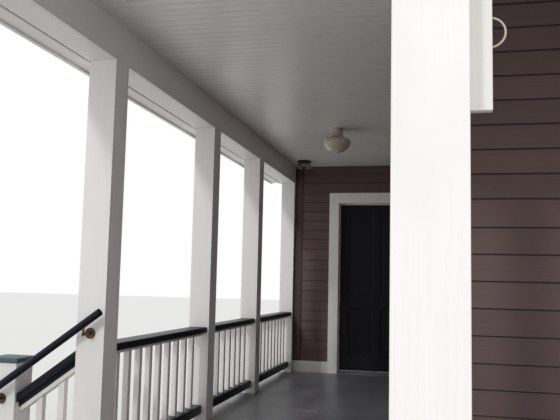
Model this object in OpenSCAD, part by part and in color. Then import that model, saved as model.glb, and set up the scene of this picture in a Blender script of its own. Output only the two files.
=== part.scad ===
// Front porch that wraps round the outer corner of a house.
// Origin: at ground level, under the outer corner of the house walls.
// +X runs along the front wall, +Y runs back along the side wall, +Z is up.
// The left wing lies at negative X and the front wing at negative Y.

/* [Plan] */
// Clear depth of both wings, from the house wall to the posts
porch_depth = 1790; // [1600:10:2200]
// Length of the left wing, from the house corner to the door wall
side_length = 5270; // [4800:10:6000]
// Distance between the centres of the front posts
front_bay = 1850; // [1600:10:2200]
// Number of front bays
front_bays = 3; // [2:1:4]
// Near face of the first side post, behind the line of the house corner
first_post_y = 150; // [60:10:300]
// Distance between the centres of the first and second side posts
side_bay_1 = 1800; // [1500:10:2000]
// Distance between the centres of the second and third side posts
side_bay_2 = 1485; // [1300:5:1700]

/* [Heights] */
// Deck surface above the ground
deck_h = 585; // [480:15:690]
// Ceiling above the deck
ceiling_h = 2548; // [2450:2:2800]
// How far the beams hang below the ceiling
beam_drop = 216; // [150:2:260]
// Walls carried on above the top of the roof
wall_above_roof = 240; // [100:10:600]

/* [Walls] */
// Thickness of the house walls
wall_t = 150; // [110:5:200]
// Height of the base board
base_h = 138; // [90:2:180]
// Thickness of the base board
base_t = 16; // [10:1:18]
// Width of the upright wall boards
wall_board_w = 95; // [70:5:110]
// Thickness of the upright wall boards
wall_board_t = 20; // [18:1:30]

/* [Door] */
// Left edge of the doorway, measured out from the side wall
door_left = 1236; // [1150:2:1300]
// Clear width of the doorway
door_w = 914; // [760:2:940]
// Clear height of the doorway above the deck
door_h = 2080; // [1980:5:2150]
// Thickness of the door leaf
leaf_t = 44; // [38:1:50]
// Gap between the leaf and what it closes against
leaf_gap = 5; // [5:0.5:8]
// Extra gap on the lock side, for the swing of the edge
lock_gap_extra = 2; // [2:0.5:4]
// Width of the side casing
casing_w = 119; // [90:1:130]
// Height of the head casing
casing_head_h = 130; // [100:1:160]
// Thickness of the casing
casing_t = 22; // [19:1:30]
// Thickness of the frame
frame_t = 32; // [25:1:40]
// How far the stop stands out from the frame
stop_t = 12; // [10:1:15]
// Width of the stop
stop_w = 40; // [30:1:45]
// Height of the threshold above the deck
sill_h = 28; // [18:1:40]
// Width of the upright rails of the door
stile_w = 115; // [95:5:130]
// Width of the top rail of the door
top_rail_w = 115; // [95:5:130]
// Width of the bottom rail of the door
bottom_rail_w = 200; // [160:5:250]
// Width of the lock rail of the door
lock_rail_w = 180; // [140:5:220]
// Height of the lock rail's foot above the deck
lock_rail_up = 780; // [700:10:880]
// Depth of the sunk panels on each face
panel_depth = 9; // [5:1:14]
// Radius of the hinge barrels
barrel_r = 6; // [5:0.5:6.5]
// Length of a hinge barrel
barrel_l = 90; // [70:5:110]
// Distance of the outer hinges from the ends of the leaf
hinge_in = 180; // [130:5:260]
// Clearance between a hinge barrel and the face of the frame
barrel_clear = 0.5; // [0.3:0.1:1]
// Clearance between neighbouring knuckles of a hinge
knuckle_gap = 0.3; // [0.2:0.1:0.5]
// How far the leaf stands back behind the inner face of the frame
leaf_back = 2; // [1:0.5:4]
// Distance of the hinge plates from the outer edge of the frame
plate_in = 4; // [2:0.5:8]
// Thickness of the hinge plates
plate_t = 3; // [2:0.5:4]
// Width of the hinge plates on the leaf
plate_w = 32; // [25:1:40]
// Height of the knobs above the deck
knob_h = 950; // [880:10:1050]
// Radius of a knob
knob_r = 27; // [22:1:30]
// How far a knob stands out from the leaf
knob_out = 65; // [60:1:75]
// Radius of a knob's neck
knob_neck_r = 9; // [7:0.5:12]
// Thickness of the rose behind a knob
rose_t = 8; // [5:0.5:10]

/* [Deck] */
// Thickness of the deck boards
deck_t = 28; // [22:1:38]
// How far the deck boards reach past the skirt
nosing = 25; // [15:1:35]
// Height of the rim board under the deck
rim_h = 235; // [180:5:280]
// Thickness of the rim board
rim_t = 40; // [35:1:50]
// Thickness of the skirt boards
skirt_t = 22; // [18:1:30]
// How far the skirt boards stand back behind the rim board's face
skirt_back = 9; // [5:1:12]

/* [Posts and beams] */
// Side of the square boxed posts
post_w = 165; // [140:1:190]
// Depth of the half posts against the walls
half_post_d = 80; // [60:1:95]
// Width of the beams
beam_w = 208; // [192:2:230]
// Distance of the groove under a beam from the beam's outer face
groove_in = 19; // [16:1:22]
// Width of the groove under a beam
groove_w = 15; // [8:1:18]
// Depth of the groove under a beam
groove_d = 18; // [8:1:30]
// Thickness of the ceiling boards
ceiling_t = 18; // [12:1:25]
// Height of the beam's outer top edge above the ceiling boards
beam_over = 30; // [15:5:60]

/* [Roof] */
// Pitch of the roof in degrees
roof_pitch = 20; // [14:1:26]
// Thickness of the roof, square to its slope
roof_t = 90; // [70:5:120]
// Clearance under the roof, where it passes over beams, fascia and gable
roof_gap = 0.1; // [0.1:0.1:0.5]
// Distance from the beam to the outer face of the fascia
eave_out = 122; // [100:2:200]
// Thickness of the fascia
fascia_t = 22; // [18:1:25]
// Thickness of the soffit boards
soffit_t = 14; // [10:1:20]
// Height of the soffit above the foot of the beam
soffit_up = 12; // [6:1:20]
// How far the roof reaches past the fascia
drip = 25; // [15:1:40]
// How far the roof reaches past the right end
verge = 60; // [40:5:100]
// Thickness of the end gable
gable_t = 25; // [20:1:35]

/* [Railings] */
// Top of the railing above the deck
rail_h = 728; // [680:2:900]
// Width of the dark cap
cap_w = 140; // [110:2:150]
// Thickness of the dark cap
cap_t = 42; // [30:1:45]
// Width of the eased edges along the top of the cap
cap_ease = 7; // [2:1:12]
// Width of the white sub-rail
subrail_w = 64; // [50:1:80]
// Thickness of the white sub-rail
subrail_t = 24; // [15:1:30]
// Width of the dark bottom rail
bottom_w = 85; // [64:1:100]
// Height of the dark bottom rail
bottom_t = 68; // [50:1:80]
// Gap between the deck and the bottom rail
bottom_gap = 56; // [50:1:110]
// Side of the square balusters
baluster_w = 38; // [30:1:45]
// Wished distance between the centres of the balusters
baluster_pitch = 160; // [110:5:180]

/* [Stair] */
// Number of rises from the ground to the deck
rises = 3; // [3:1:4]
// Depth of a step from nosing to nosing
run = 270; // [240:5:300]
// Thickness of the treads
tread_t = 32; // [25:1:40]
// Thickness of the risers
riser_t = 20; // [16:1:25]
// Thickness of the stringers
stringer_t = 45; // [38:1:60]
// How far the outer stringers stand in from the ends of the treads
stringer_in = 25; // [10:5:60]
// Length of the stringers on the ground, behind the lowest riser
stringer_foot = 200; // [150:10:260]
// How far the risers are let into the stringers
riser_let = 4; // [2:1:8]
// Clear distance between a porch post and its newel
newel_gap = 358; // [330:2:400]
// Height of the newels above the deck
newel_up = 640; // [580:2:680]
// Thickness of the newel caps
newel_cap_t = 27; // [18:1:32]
// How far the tops of the stair guards lie below the railing's top
guard_drop = 24; // [0:1:60]
// Thickness of the dark board under the cap of a stair guard
guard_under_t = 22; // [18:1:38]
// How far the newel caps reach past the newels
newel_cap_out = 12; // [6:1:20]
// Clear distance from the newel to its first baluster
stair_baluster_first = 98; // [80:1:120]
// Distance between the centres of the stair balusters
stair_baluster_pitch = 131; // [100:1:150]
// Diameter of the round handrails
handrail_d = 41; // [32:1:48]
// Clear distance from the posts to a handrail
handrail_off = 60; // [50:1:80]
// Height of the handrail above the deck at the middle of the porch post
handrail_up = 850; // [800:5:900]
// Level length of a handrail uphill of the middle of the porch post
handrail_head = 94; // [80:1:140]
// Level length of a handrail past the middle of the newel
handrail_tail = 170; // [110:5:220]

/* [Fittings] */
// Radius of the round plates of the handrail brackets
bracket_r = 30; // [25:1:36]
// Thickness of the round plates of the handrail brackets
bracket_t = 6; // [4:1:8]
// Radius of the arms of the handrail brackets
bracket_arm_r = 7; // [5:1:8]
// Height of the handrail above the arms of its brackets
bracket_up = 55; // [45:1:65]
// Distance of the ceiling lamp from the side wall
lamp_x = 960; // [800:10:1100]
// Distance of the ceiling lamp from the line of the house corner
lamp_y = 3100; // [2800:50:3600]
// Radius of the lamp's canopy
canopy_r = 58; // [45:1:70]
// Height of the lamp's canopy
canopy_h = 76; // [50:1:90]
// Radius of the lamp's globe
globe_r = 131; // [100:1:145]
// Height of the lamp's globe
globe_h = 160; // [130:1:190]
// Height of the globe's widest ring above its lowest point
globe_wide_h = 98; // [80:1:120]
// Distance of the spotlight from the side wall
spot_x = 1607; // [1500:1:1700]
// Distance of the spotlight from the door wall
spot_back = 430; // [350:10:600]
// Radius of the spotlight's base
spot_base_r = 84; // [70:1:95]
// Height of the spotlight's base
spot_base_h = 22; // [12:1:28]
// Radius of the mouth of a spotlight head
spot_head_r = 37; // [32:1:40]
// Length of a spotlight head
spot_head_l = 58; // [45:1:70]
// Tilt of the spotlight heads away from straight down, in degrees
spot_tilt = 12; // [0:1:30]
// Height above the deck of the foot of the board behind the big post
back_board_foot = 1503; // [1300:1:1700]
// Thickness of the board behind the big post
back_board_t = 25; // [20:1:35]
// Width of the board behind the big post
back_board_w = 120; // [90:1:140]
// How far that board stands out past the post
back_board_out = 57; // [40:1:70]

/* [Hidden] */
$fn = 64;
eps = 1;

// Plan
post_in = -porch_depth;
post_mid = post_in - post_w / 2;
post_out = post_in - post_w;
beam_out = post_in - beam_w;
fascia_out = beam_out - eave_out;
roof_out = fascia_out - drip;
last_post_x = post_mid + front_bays * front_bay;
end_in = last_post_x - post_w / 2;
end_post_out = end_in + post_w;
end_out = end_in + beam_w;
door_wall_y = side_length;
wall_back_y = door_wall_y + wall_t;
side_post_y = [for (step = [0, side_bay_1, side_bay_1 + side_bay_2]) first_post_y + step];
big_post_x = post_mid + front_bay;

// Heights
rim_z = deck_h - deck_t - rim_h;
ceiling_z = deck_h + ceiling_h;
beam_z = ceiling_z - beam_drop;
slope = tan(roof_pitch);
beam_top = ceiling_z + ceiling_t + beam_over;
roof_rise = roof_t / cos(roof_pitch);
roof_top = beam_top - beam_out * slope + roof_rise;
wall_top = roof_top + wall_above_roof;

// Doorway
door_x0 = -door_left;
door_x1 = door_x0 + door_w;
rough_x0 = door_x0 - frame_t;
rough_x1 = door_x1 + frame_t;
door_top = deck_h + door_h;
rough_top = door_top + frame_t;
leaf_x0 = door_x0 + leaf_gap;
leaf_x1 = door_x1 - leaf_gap - lock_gap_extra;
leaf_z0 = deck_h + sill_h + leaf_gap;
leaf_z1 = door_top - leaf_gap;
leaf_y1 = wall_back_y - leaf_back;
leaf_y0 = leaf_y1 - leaf_t;
hinge_x = door_x0 + leaf_gap / 2;
hinge_y = wall_back_y + barrel_r + barrel_clear;
hinge_z = [leaf_z0 + hinge_in, (leaf_z0 + leaf_z1) / 2, leaf_z1 - hinge_in];
knuckle_h = barrel_l / 3 - knuckle_gap;
rose_r = knob_r + 3;
knob_half = 16;

// Rails, and the clear spans between the posts as [start, end]
rail_z = deck_h + rail_h;
subrail_z = rail_z - cap_t - subrail_t;
bottom_z = deck_h + bottom_gap;
front_spans = [for (i = [0 : front_bays - 1]) [post_in + i * front_bay, post_out + (i + 1) * front_bay]];
side_spans = [[side_post_y[0] + post_w, side_post_y[1]], [side_post_y[1] + post_w, side_post_y[2]],
              [side_post_y[2] + post_w, door_wall_y - half_post_d]];
end_span = [post_in, -half_post_d];

// Stair
rise = deck_h / rises;
steps = rises - 1;
stair_slope = rise / run;
stair_y0 = post_in;
stair_y1 = first_post_y;
newel_x1 = post_out - newel_gap;
newel_x0 = newel_x1 - post_w;
newel_mid = (newel_x0 + newel_x1) / 2;
newel_top = deck_h + newel_up;
stair_cos = cos(atan(stair_slope));
guard_y = [post_mid, first_post_y + post_w / 2];
guard_cap = cap_t / stair_cos;
guard_sub = subrail_t / stair_cos;
guard_bottom = bottom_t / stair_cos;
guard_bottom_top = bottom_z + guard_bottom;
guard_under = guard_under_t / stair_cos;
guard_top = rail_z - guard_drop;
guard_foot = guard_top - guard_cap - guard_under;
handrail_reach = handrail_off + handrail_d / 2;
bar_chamfer = 2;
bracket_ball_r = bracket_arm_r + 3;

// Spotlight
spot_arm_r = 9;
spot_neck = 12;
spot_throat_r = spot_head_r - 8;

// A box between two corners
module block(low, high) {
  translate(low) cube(high - low);
}

// An upright prism over a plan outline
module upright(points, z0, z1) {
  translate([0, 0, z0]) linear_extrude(z1 - z0) polygon(points);
}

// An outline of [x, z] points carried along Y
module along_y(points, y0, y1) {
  translate([0, y1, 0]) rotate([90, 0, 0]) linear_extrude(y1 - y0) polygon(points);
}

// An outline of [y, z] points carried along X
module along_x(points, x0, x1) {
  translate([x0, 0, 0]) rotate([90, 0, 90]) linear_extrude(x1 - x0) polygon(points);
}

// Plan of the front wing out to a given distance, mitred at the corner
function front_plan(out, x1) = [[0, 0], [out, out], [x1, out], [x1, 0]];

// Plan of the left wing out to a given distance, mitred at the corner
function side_plan(out) = [[0, 0], [0, door_wall_y], [out, door_wall_y], [out, out]];

// Height of the underside of the roof at a distance from the wall
function roof_under(out) = beam_top + (out - beam_out) * slope;

// Height of what carries the roof at a distance from the wall
function roof_seat(out) = roof_under(out) - roof_gap;

// Walls

// The two long walls meet in a mitre at the house corner
module front_wall() {
  color("rosybrown") upright([[0, 0], [wall_t, wall_t], [end_out, wall_t], [end_out, 0]], 0, wall_top);
}

module side_wall() {
  color("rosybrown") upright([[0, 0], [0, wall_back_y], [wall_t, wall_back_y], [wall_t, wall_t]], 0, wall_top);
}

module door_wall(x0, x1, z0, z1) {
  color("rosybrown") block([x0, door_wall_y, z0], [x1, wall_back_y, z1]);
}

module door_casing() {
  color("white") difference() {
    block([door_x0 - casing_w, door_wall_y - casing_t, deck_h],
          [door_x1 + casing_w, door_wall_y, door_top + casing_head_h]);
    block([door_x0, door_wall_y - casing_t - eps, deck_h - eps], [door_x1, door_wall_y + eps, door_top]);
  }
}

module door_frame() {
  color("white") difference() {
    block([rough_x0, door_wall_y, deck_h], [rough_x1, wall_back_y, rough_top]);
    block([door_x0, door_wall_y - eps, deck_h - eps], [door_x1, wall_back_y + eps, door_top]);
  }
  color("white") difference() {
    block([door_x0, leaf_y0 - leaf_gap - stop_w, deck_h + sill_h], [door_x1, leaf_y0 - leaf_gap, door_top]);
    block([door_x0 + stop_t, door_wall_y, deck_h], [door_x1 - stop_t, leaf_y0, door_top - stop_t]);
  }
}

// Outer knuckles of the hinges, on plates that are screwed to the frame
module frame_hinges() {
  color("dimgray") for (z = hinge_z, end = [-1, 1]) {
    middle = z + end * barrel_l / 3;
    translate([hinge_x, hinge_y, middle - knuckle_h / 2]) cylinder(r = barrel_r, h = knuckle_h);
    block([rough_x0 + plate_in, wall_back_y, middle - knuckle_h / 2],
          [hinge_x, wall_back_y + plate_t, middle + knuckle_h / 2]);
  }
}

// Middle knuckles of the hinges, on plates that are screwed to the leaf, and the two knobs
module leaf_fittings() {
  color("dimgray") for (z = hinge_z) {
    translate([hinge_x, hinge_y, z - knuckle_h / 2]) cylinder(r = barrel_r, h = knuckle_h);
    block([hinge_x, leaf_y1, z - knuckle_h / 2],
          [leaf_x0 + plate_w, wall_back_y + plate_t, z + knuckle_h / 2]);
  }
  x = leaf_x1 - stile_w / 2;
  z = deck_h + knob_h;
  color("goldenrod") {
    translate([x, leaf_y0, z]) rotate([90, 0, 0]) knob();
    translate([x, leaf_y1, z]) rotate([-90, 0, 0]) knob();
  }
}

module door_sill() {
  color("slategray") along_x([[door_wall_y - casing_t, deck_h], [door_wall_y - casing_t, deck_h + sill_h / 2],
                              [door_wall_y + 20, deck_h + sill_h], [wall_back_y, deck_h + sill_h],
                              [wall_back_y, deck_h]], door_x0, door_x1);
}

module base_boards() {
  color("white") {
    block([post_in, door_wall_y - base_t, deck_h], [door_x0 - casing_w, door_wall_y, deck_h + base_h]);
    block([door_x1 + casing_w, door_wall_y - base_t, deck_h], [0, door_wall_y, deck_h + base_h]);
    block([-base_t, -base_t, deck_h], [0, door_wall_y - base_t, deck_h + base_h]);
    block([0, -base_t, deck_h], [end_in, 0, deck_h + base_h]);
  }
}

// Plain upright boards beside the half posts and round the house corner
module wall_boards() {
  z0 = deck_h + base_h;
  color("rosybrown") {
    block([post_in, door_wall_y - wall_board_t, z0],
          [post_in + wall_board_w, door_wall_y, ceiling_z]);
    block([end_in - wall_board_w, -wall_board_t, z0], [end_in, 0, ceiling_z]);
    block([-wall_board_t, 0, z0], [0, wall_board_w, ceiling_z]);
    block([-wall_board_t, -wall_board_t, z0], [wall_board_w, 0, ceiling_z]);
  }
}

// Door leaf

module door_leaf() {
  lock_z = deck_h + lock_rail_up;
  mid = (leaf_x0 + leaf_x1) / 2;
  color("midnightblue") difference() {
    block([leaf_x0, leaf_y0, leaf_z0], [leaf_x1, leaf_y1, leaf_z1]);
    for (span = [[leaf_z0 + bottom_rail_w, lock_z], [lock_z + lock_rail_w, leaf_z1 - top_rail_w]])
      for (side = [[leaf_x0 + stile_w, mid - stile_w / 2], [mid + stile_w / 2, leaf_x1 - stile_w]])
        for (y = [leaf_y0 - eps, leaf_y1 - panel_depth])
          block([side[0], y, span[0]], [side[1], y + panel_depth + eps, span[1]]);
  }
}

// One knob on its rose, standing out along +Z
module knob() {
  mid = knob_out - knob_half;
  rotate_extrude() polygon(concat(
    [[0, 0], [rose_r, 0], [rose_r, rose_t / 2], [knob_r - 2, rose_t], [knob_neck_r, rose_t]],
    [for (a = [-70 : 20 : 70]) [knob_r * cos(a), mid + knob_half * sin(a)]],
    [[0, knob_out]]));
}

// Floor

module front_deck() {
  out = post_out - nosing;
  color("lightslategray") upright([[0, 0], [out, 0], [out, out], [end_post_out + nosing, out],
                                   [end_post_out + nosing, 0]], deck_h - deck_t, deck_h);
}

module side_deck() {
  color("lightslategray") upright([[0, 0], [0, door_wall_y], [post_out - nosing, door_wall_y],
                                   [post_out - nosing, 0]], deck_h - deck_t, deck_h);
}

// Rim board with upright boards below it: a section from its outer face inwards
function skirt_section(face, inward) = [
  [face, deck_h - deck_t], [face, rim_z], [face + inward * skirt_back, rim_z],
  [face + inward * skirt_back, 0], [face + inward * (skirt_back + skirt_t), 0],
  [face + inward * (skirt_back + skirt_t), rim_z],
  [face + inward * rim_t, rim_z], [face + inward * rim_t, deck_h - deck_t]];

module front_skirt() {
  color("white") along_x(skirt_section(post_out, 1), post_out, end_post_out);
}

module side_skirt() {
  color("white") along_y(skirt_section(post_out, 1), post_out + rim_t, door_wall_y);
}

module end_skirt() {
  color("white") along_y(skirt_section(end_post_out, -1), post_out + rim_t, 0);
}

// Posts

module post(x, y, z1 = beam_z) {
  color("white") block([x, y, deck_h], [x + post_w, y + post_w, z1]);
}

module front_posts() {
  for (i = [0 : front_bays]) post(post_out + i * front_bay, post_out);
}

module side_posts() {
  for (y = side_post_y) post(post_out, y);
}

module wall_posts() {
  color("white") {
    block([post_out, door_wall_y - half_post_d, deck_h], [post_in, door_wall_y, beam_z]);
    block([end_in, -half_post_d, deck_h], [end_post_out, 0, beam_z]);
  }
}

// Beams, ceilings and roof

// Beam section with a groove in its foot and its top bevelled to the pitch of the roof
function beam_section() = [
  [beam_out, beam_z], [beam_out + groove_in, beam_z], [beam_out + groove_in, beam_z + groove_d],
  [beam_out + groove_in + groove_w, beam_z + groove_d], [beam_out + groove_in + groove_w, beam_z],
  [post_in, beam_z], [post_in, roof_seat(post_in)], [beam_out, roof_seat(beam_out)]];

module front_beam() {
  color("white") intersection() {
    along_x(beam_section(), beam_out, end_out);
    upright(front_plan(beam_out, end_out), beam_z, wall_top);
  }
}

module side_beam() {
  color("white") intersection() {
    along_y(beam_section(), beam_out, door_wall_y);
    upright(side_plan(beam_out), beam_z, wall_top);
  }
}

module end_beam() {
  color("white") block([end_in, post_in, beam_z], [end_out, 0, beam_top]);
}

module front_ceiling() {
  color("gainsboro") block([0, post_in, ceiling_z], [end_in, 0, ceiling_z + ceiling_t]);
}

// Ceiling of the left wing, which carries on over the corner
module side_ceiling() {
  color("gainsboro") block([post_in, post_in, ceiling_z], [0, door_wall_y, ceiling_z + ceiling_t]);
}

// Soffit and fascia as one section, closed under the roof
function eave_section() = [
  [beam_out, beam_z + soffit_up], [beam_out, beam_z + soffit_up + soffit_t],
  [fascia_out + fascia_t, beam_z + soffit_up + soffit_t],
  [fascia_out + fascia_t, roof_seat(fascia_out + fascia_t)],
  [fascia_out, roof_seat(fascia_out)], [fascia_out, beam_z], [fascia_out + fascia_t, beam_z],
  [fascia_out + fascia_t, beam_z + soffit_up]];

// Board that closes the open end of an eave
function eave_end() = [[beam_out, beam_z + soffit_up], [beam_out, roof_seat(beam_out)],
                       [fascia_out, roof_seat(fascia_out)], [fascia_out, beam_z + soffit_up]];

module front_eave() {
  color("white") intersection() {
    union() {
      along_x(eave_section(), fascia_out, end_out);
      along_x(eave_end(), end_out - fascia_t, end_out);
    }
    upright(front_plan(fascia_out, end_out), 0, wall_top);
  }
}

module side_eave() {
  color("white") intersection() {
    union() {
      along_y(eave_section(), fascia_out, door_wall_y);
      along_y(eave_end(), door_wall_y - fascia_t, door_wall_y);
    }
    upright(side_plan(fascia_out), 0, wall_top);
  }
}

function roof_section() = [[roof_out, roof_under(roof_out)], [0, roof_under(0)], [0, roof_top],
                           [roof_out, roof_under(roof_out) + roof_rise]];

module front_roof() {
  color("dimgray") intersection() {
    along_x(roof_section(), roof_out, end_out + verge);
    upright(front_plan(roof_out, end_out + verge), 0, wall_top);
  }
}

module side_roof() {
  color("dimgray") intersection() {
    along_y(roof_section(), roof_out, door_wall_y);
    upright(side_plan(roof_out), 0, wall_top);
  }
}

// Triangle between the end beam, the front beam and the roof
module end_gable() {
  color("white") along_x([[post_in, beam_top], [0, beam_top], [0, roof_seat(0)], [post_in, roof_seat(post_in)]],
                         end_out - gable_t, end_out);
}

// Railings

// Section of the cap over the middle of a railing, with its top edges eased
function cap_section(mid) = [
  [mid - cap_w / 2, rail_z - cap_t], [mid - cap_w / 2, rail_z - cap_ease],
  [mid - cap_w / 2 + cap_ease, rail_z], [mid + cap_w / 2 - cap_ease, rail_z],
  [mid + cap_w / 2, rail_z - cap_ease], [mid + cap_w / 2, rail_z - cap_t]];

// Cap and bottom rail from one end to the other, along X
module rails_x(x0, x1, y) {
  color("midnightblue") {
    along_x(cap_section(y), x0, x1);
    block([x0, y - bottom_w / 2, bottom_z], [x1, y + bottom_w / 2, bottom_z + bottom_t]);
  }
}

// White sub-rail with its balusters, along X
module balusters_x(x0, x1, y) {
  spaces = round((x1 - x0) / baluster_pitch);
  pitch = (x1 - x0) / spaces;
  color("white") {
    block([x0, y - subrail_w / 2, subrail_z], [x1, y + subrail_w / 2, subrail_z + subrail_t]);
    for (i = [1 : spaces - 1])
      block([x0 + i * pitch - baluster_w / 2, y - baluster_w / 2, bottom_z + bottom_t],
            [x0 + i * pitch + baluster_w / 2, y + baluster_w / 2, subrail_z]);
  }
}

// The same pair of modules turned to run along Y
module rails_y(y0, y1, x) {
  mirror([1, -1, 0]) rails_x(y0, y1, x);
}

module balusters_y(y0, y1, x) {
  mirror([1, -1, 0]) balusters_x(y0, y1, x);
}

module front_rails() {
  for (s = front_spans) rails_x(s[0], s[1], post_mid);
}

module front_balusters() {
  for (s = front_spans) balusters_x(s[0], s[1], post_mid);
}

module side_rails() {
  for (s = side_spans) rails_y(s[0], s[1], post_mid);
}

module side_balusters() {
  for (s = side_spans) balusters_y(s[0], s[1], post_mid);
}

module end_rails() {
  rails_y(end_span[0], end_span[1], last_post_x);
}

module end_balusters() {
  balusters_y(end_span[0], end_span[1], last_post_x);
}

// Stair

// Height of the tread that lies n rises below the deck
function tread_z(n) = deck_h - n * rise;

// Back face of the riser under that tread
function riser_back(n) = post_out - n * run + riser_t;

// Outline of a stringer with its steps cut out, in [x, z]
function stringer_outline() = concat(
  [[post_out, max(0, tread_z(1) - tread_t - run)]],
  [[post_out, tread_z(1) - tread_t]],
  [for (n = [1 : steps], k = [0, 1])
     [riser_back(n) - riser_let, k == 0 ? tread_z(n) - tread_t : max(0, tread_z(n + 1) - tread_t)]],
  [[riser_back(steps) + stringer_foot, 0]]);

module stair_frame() {
  middle = (stair_y0 + stair_y1 - stringer_t) / 2;
  color("white") {
    for (y = [stair_y0 + stringer_in, middle, stair_y1 - stringer_in - stringer_t])
      along_y(stringer_outline(), y, y + stringer_t);
    for (n = [1 : steps])
      block([post_out - n * run, stair_y0 + stringer_in, max(0, tread_z(n + 1))],
            [riser_back(n), stair_y1 - stringer_in, tread_z(n) - tread_t]);
  }
}

module stair_treads() {
  color("lightslategray") for (n = [1 : steps])
    block([post_out - nosing - n * run, stair_y0, tread_z(n) - tread_t],
          [post_out - (n - 1) * run, stair_y1, tread_z(n)]);
}

module stair_newels() {
  color("white") for (y = [post_out, first_post_y])
    block([newel_x0, y, 0], [newel_x1, y + post_w, newel_top - newel_cap_t]);
}

module newel_caps() {
  color("slategray") for (y = [post_out, first_post_y])
    block([newel_x0 - newel_cap_out, y - newel_cap_out, newel_top - newel_cap_t],
          [newel_x1 + newel_cap_out, y + post_w + newel_cap_out, newel_top]);
}

// A sloped bar with plumb ends: top height at the porch post, upright thickness, width
module sloped(top, thick, width, y) {
  fall = newel_gap * stair_slope;
  along_y([[post_out, top], [newel_x1, top - fall], [newel_x1, top - fall - thick], [post_out, top - thick]],
          y - width / 2, y + width / 2);
}

module stair_rails() {
  color("midnightblue") for (y = guard_y) {
    sloped(guard_top, guard_cap, cap_w, y);
    sloped(guard_top - guard_cap, guard_under, bottom_w, y);
    sloped(guard_bottom_top, guard_bottom, bottom_w, y);
  }
  handrail(first_post_y, -1);
  handrail(post_in, 1);
}

module stair_balusters() {
  first = newel_x1 + stair_baluster_first + baluster_w / 2;
  color("white") for (y = guard_y) {
    sloped(guard_foot, guard_sub, subrail_w, y);
    intersection() {
      for (x = [first : stair_baluster_pitch : post_out - baluster_w])
        block([x - baluster_w / 2, y - baluster_w / 2, 0], [x + baluster_w / 2, y + baluster_w / 2, rail_z]);
      sloped(guard_foot, guard_foot - guard_bottom_top, baluster_w, y);
    }
  }
}

// Round rail beside a pair of posts. face is the posts' face and side the way it stands off
module handrail(face, side) {
  level = post_mid - newel_mid + handrail_head + handrail_tail;
  y = face + side * handrail_reach;
  top = deck_h + handrail_up + handrail_head * stair_slope;
  color("midnightblue") {
    translate([post_mid + handrail_head, y, top]) rotate([0, -90 - atan(stair_slope), 0])
      round_bar(handrail_d / 2, level / stair_cos);
    for (x = [post_mid, newel_mid])
      translate([x, face, deck_h + handrail_up - (post_mid - x) * stair_slope - bracket_up]) bracket(side);
  }
}

// A round bar along +Z with chamfered ends
module round_bar(r, length) {
  rotate_extrude() polygon([[0, 0], [r - bar_chamfer, 0], [r, bar_chamfer], [r, length - bar_chamfer],
                            [r - bar_chamfer, length], [0, length]]);
}

// Wall bracket: a round plate and an arm that turns up to the rail through a ball
module bracket(side) {
  rotate([-90 * side, 0, 0]) cylinder(r = bracket_r, h = bracket_t);
  rotate([-90 * side, 0, 0]) cylinder(r = bracket_arm_r, h = handrail_reach);
  translate([0, side * handrail_reach, 0]) {
    sphere(r = bracket_ball_r);
    cylinder(r = bracket_arm_r, h = bracket_up - handrail_d / 4);
  }
}

// Fittings

// A globe with a low round shoulder under an upright canopy
module ceiling_lamp() {
  shoulder_h = globe_h - globe_wide_h;
  color("ivory") translate([-lamp_x, lamp_y, ceiling_z - canopy_h - globe_h]) rotate_extrude()
    polygon(concat([for (a = [0 : 10 : 80]) [globe_r * sin(a), globe_wide_h * (1 - cos(a))]],
                   [for (a = [0 : 10 : 90]) [canopy_r + (globe_r - canopy_r) * cos(a),
                                             globe_wide_h + shoulder_h * sin(a)]],
                   [[canopy_r, globe_h + canopy_h], [0, globe_h + canopy_h]]));
}

// Twin lamp heads that hang from one round base
module spotlight() {
  color("dimgray") translate([-spot_x, door_wall_y - spot_back, ceiling_z]) {
    translate([0, 0, -spot_base_h]) cylinder(r = spot_base_r, h = spot_base_h);
    for (side = [-1, 1])
      translate([side * spot_base_r / 2, 0, -spot_base_h]) rotate([0, 180 - side * spot_tilt, 0]) {
        cylinder(r = spot_arm_r, h = spot_neck + spot_arm_r);
        translate([0, 0, spot_neck]) cylinder(r1 = spot_throat_r, r2 = spot_head_r, h = spot_head_l);
      }
  }
}

module back_board() {
  x1 = big_post_x + post_w / 2 + back_board_out;
  color("white") block([x1 - back_board_w, post_in, deck_h + back_board_foot],
                       [x1, post_in + back_board_t, ceiling_z]);
}

front_wall();
side_wall();
door_wall(post_out, rough_x0, 0, wall_top);  // door_wall_left
door_wall(rough_x1, 0, 0, wall_top);  // door_wall_right
door_wall(rough_x0, rough_x1, rough_top, wall_top);  // door_wall_head
door_wall(rough_x0, rough_x1, 0, deck_h);  // door_wall_base
door_casing();
door_frame();
door_sill();
base_boards();
wall_boards();
door_leaf();
leaf_fittings();
frame_hinges();
front_deck();
side_deck();
front_skirt();
side_skirt();
end_skirt();
front_posts();
side_posts();
wall_posts();
front_beam();
side_beam();
end_beam();
front_ceiling();
side_ceiling();
front_eave();
side_eave();
front_roof();
side_roof();
end_gable();
front_rails();
side_rails();
end_rails();
front_balusters();
side_balusters();
end_balusters();
stair_frame();
stair_treads();
stair_newels();
newel_caps();
stair_rails();
stair_balusters();
ceiling_lamp();
spotlight();
back_board();
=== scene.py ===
"""Finished pieces, materials, light and camera for a front porch that wraps round the corner of a house.

Everything is in metres in the frame of the construction model. The origin lies at ground level under the
outer corner of the house walls. +X runs along the front wall, +Y runs back along the side wall and +Z is up.
"""

import logging
import math
import random
from dataclasses import dataclass, replace
from enum import Enum
from typing import Callable, Iterable, Optional, Sequence

import bmesh
import bpy
from bmesh.types import BMEdge, BMesh, BMFace, BMVert
from bpy.types import Material, Node, NodeSocket, NodeTree
from mathutils import Matrix, Vector


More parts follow.
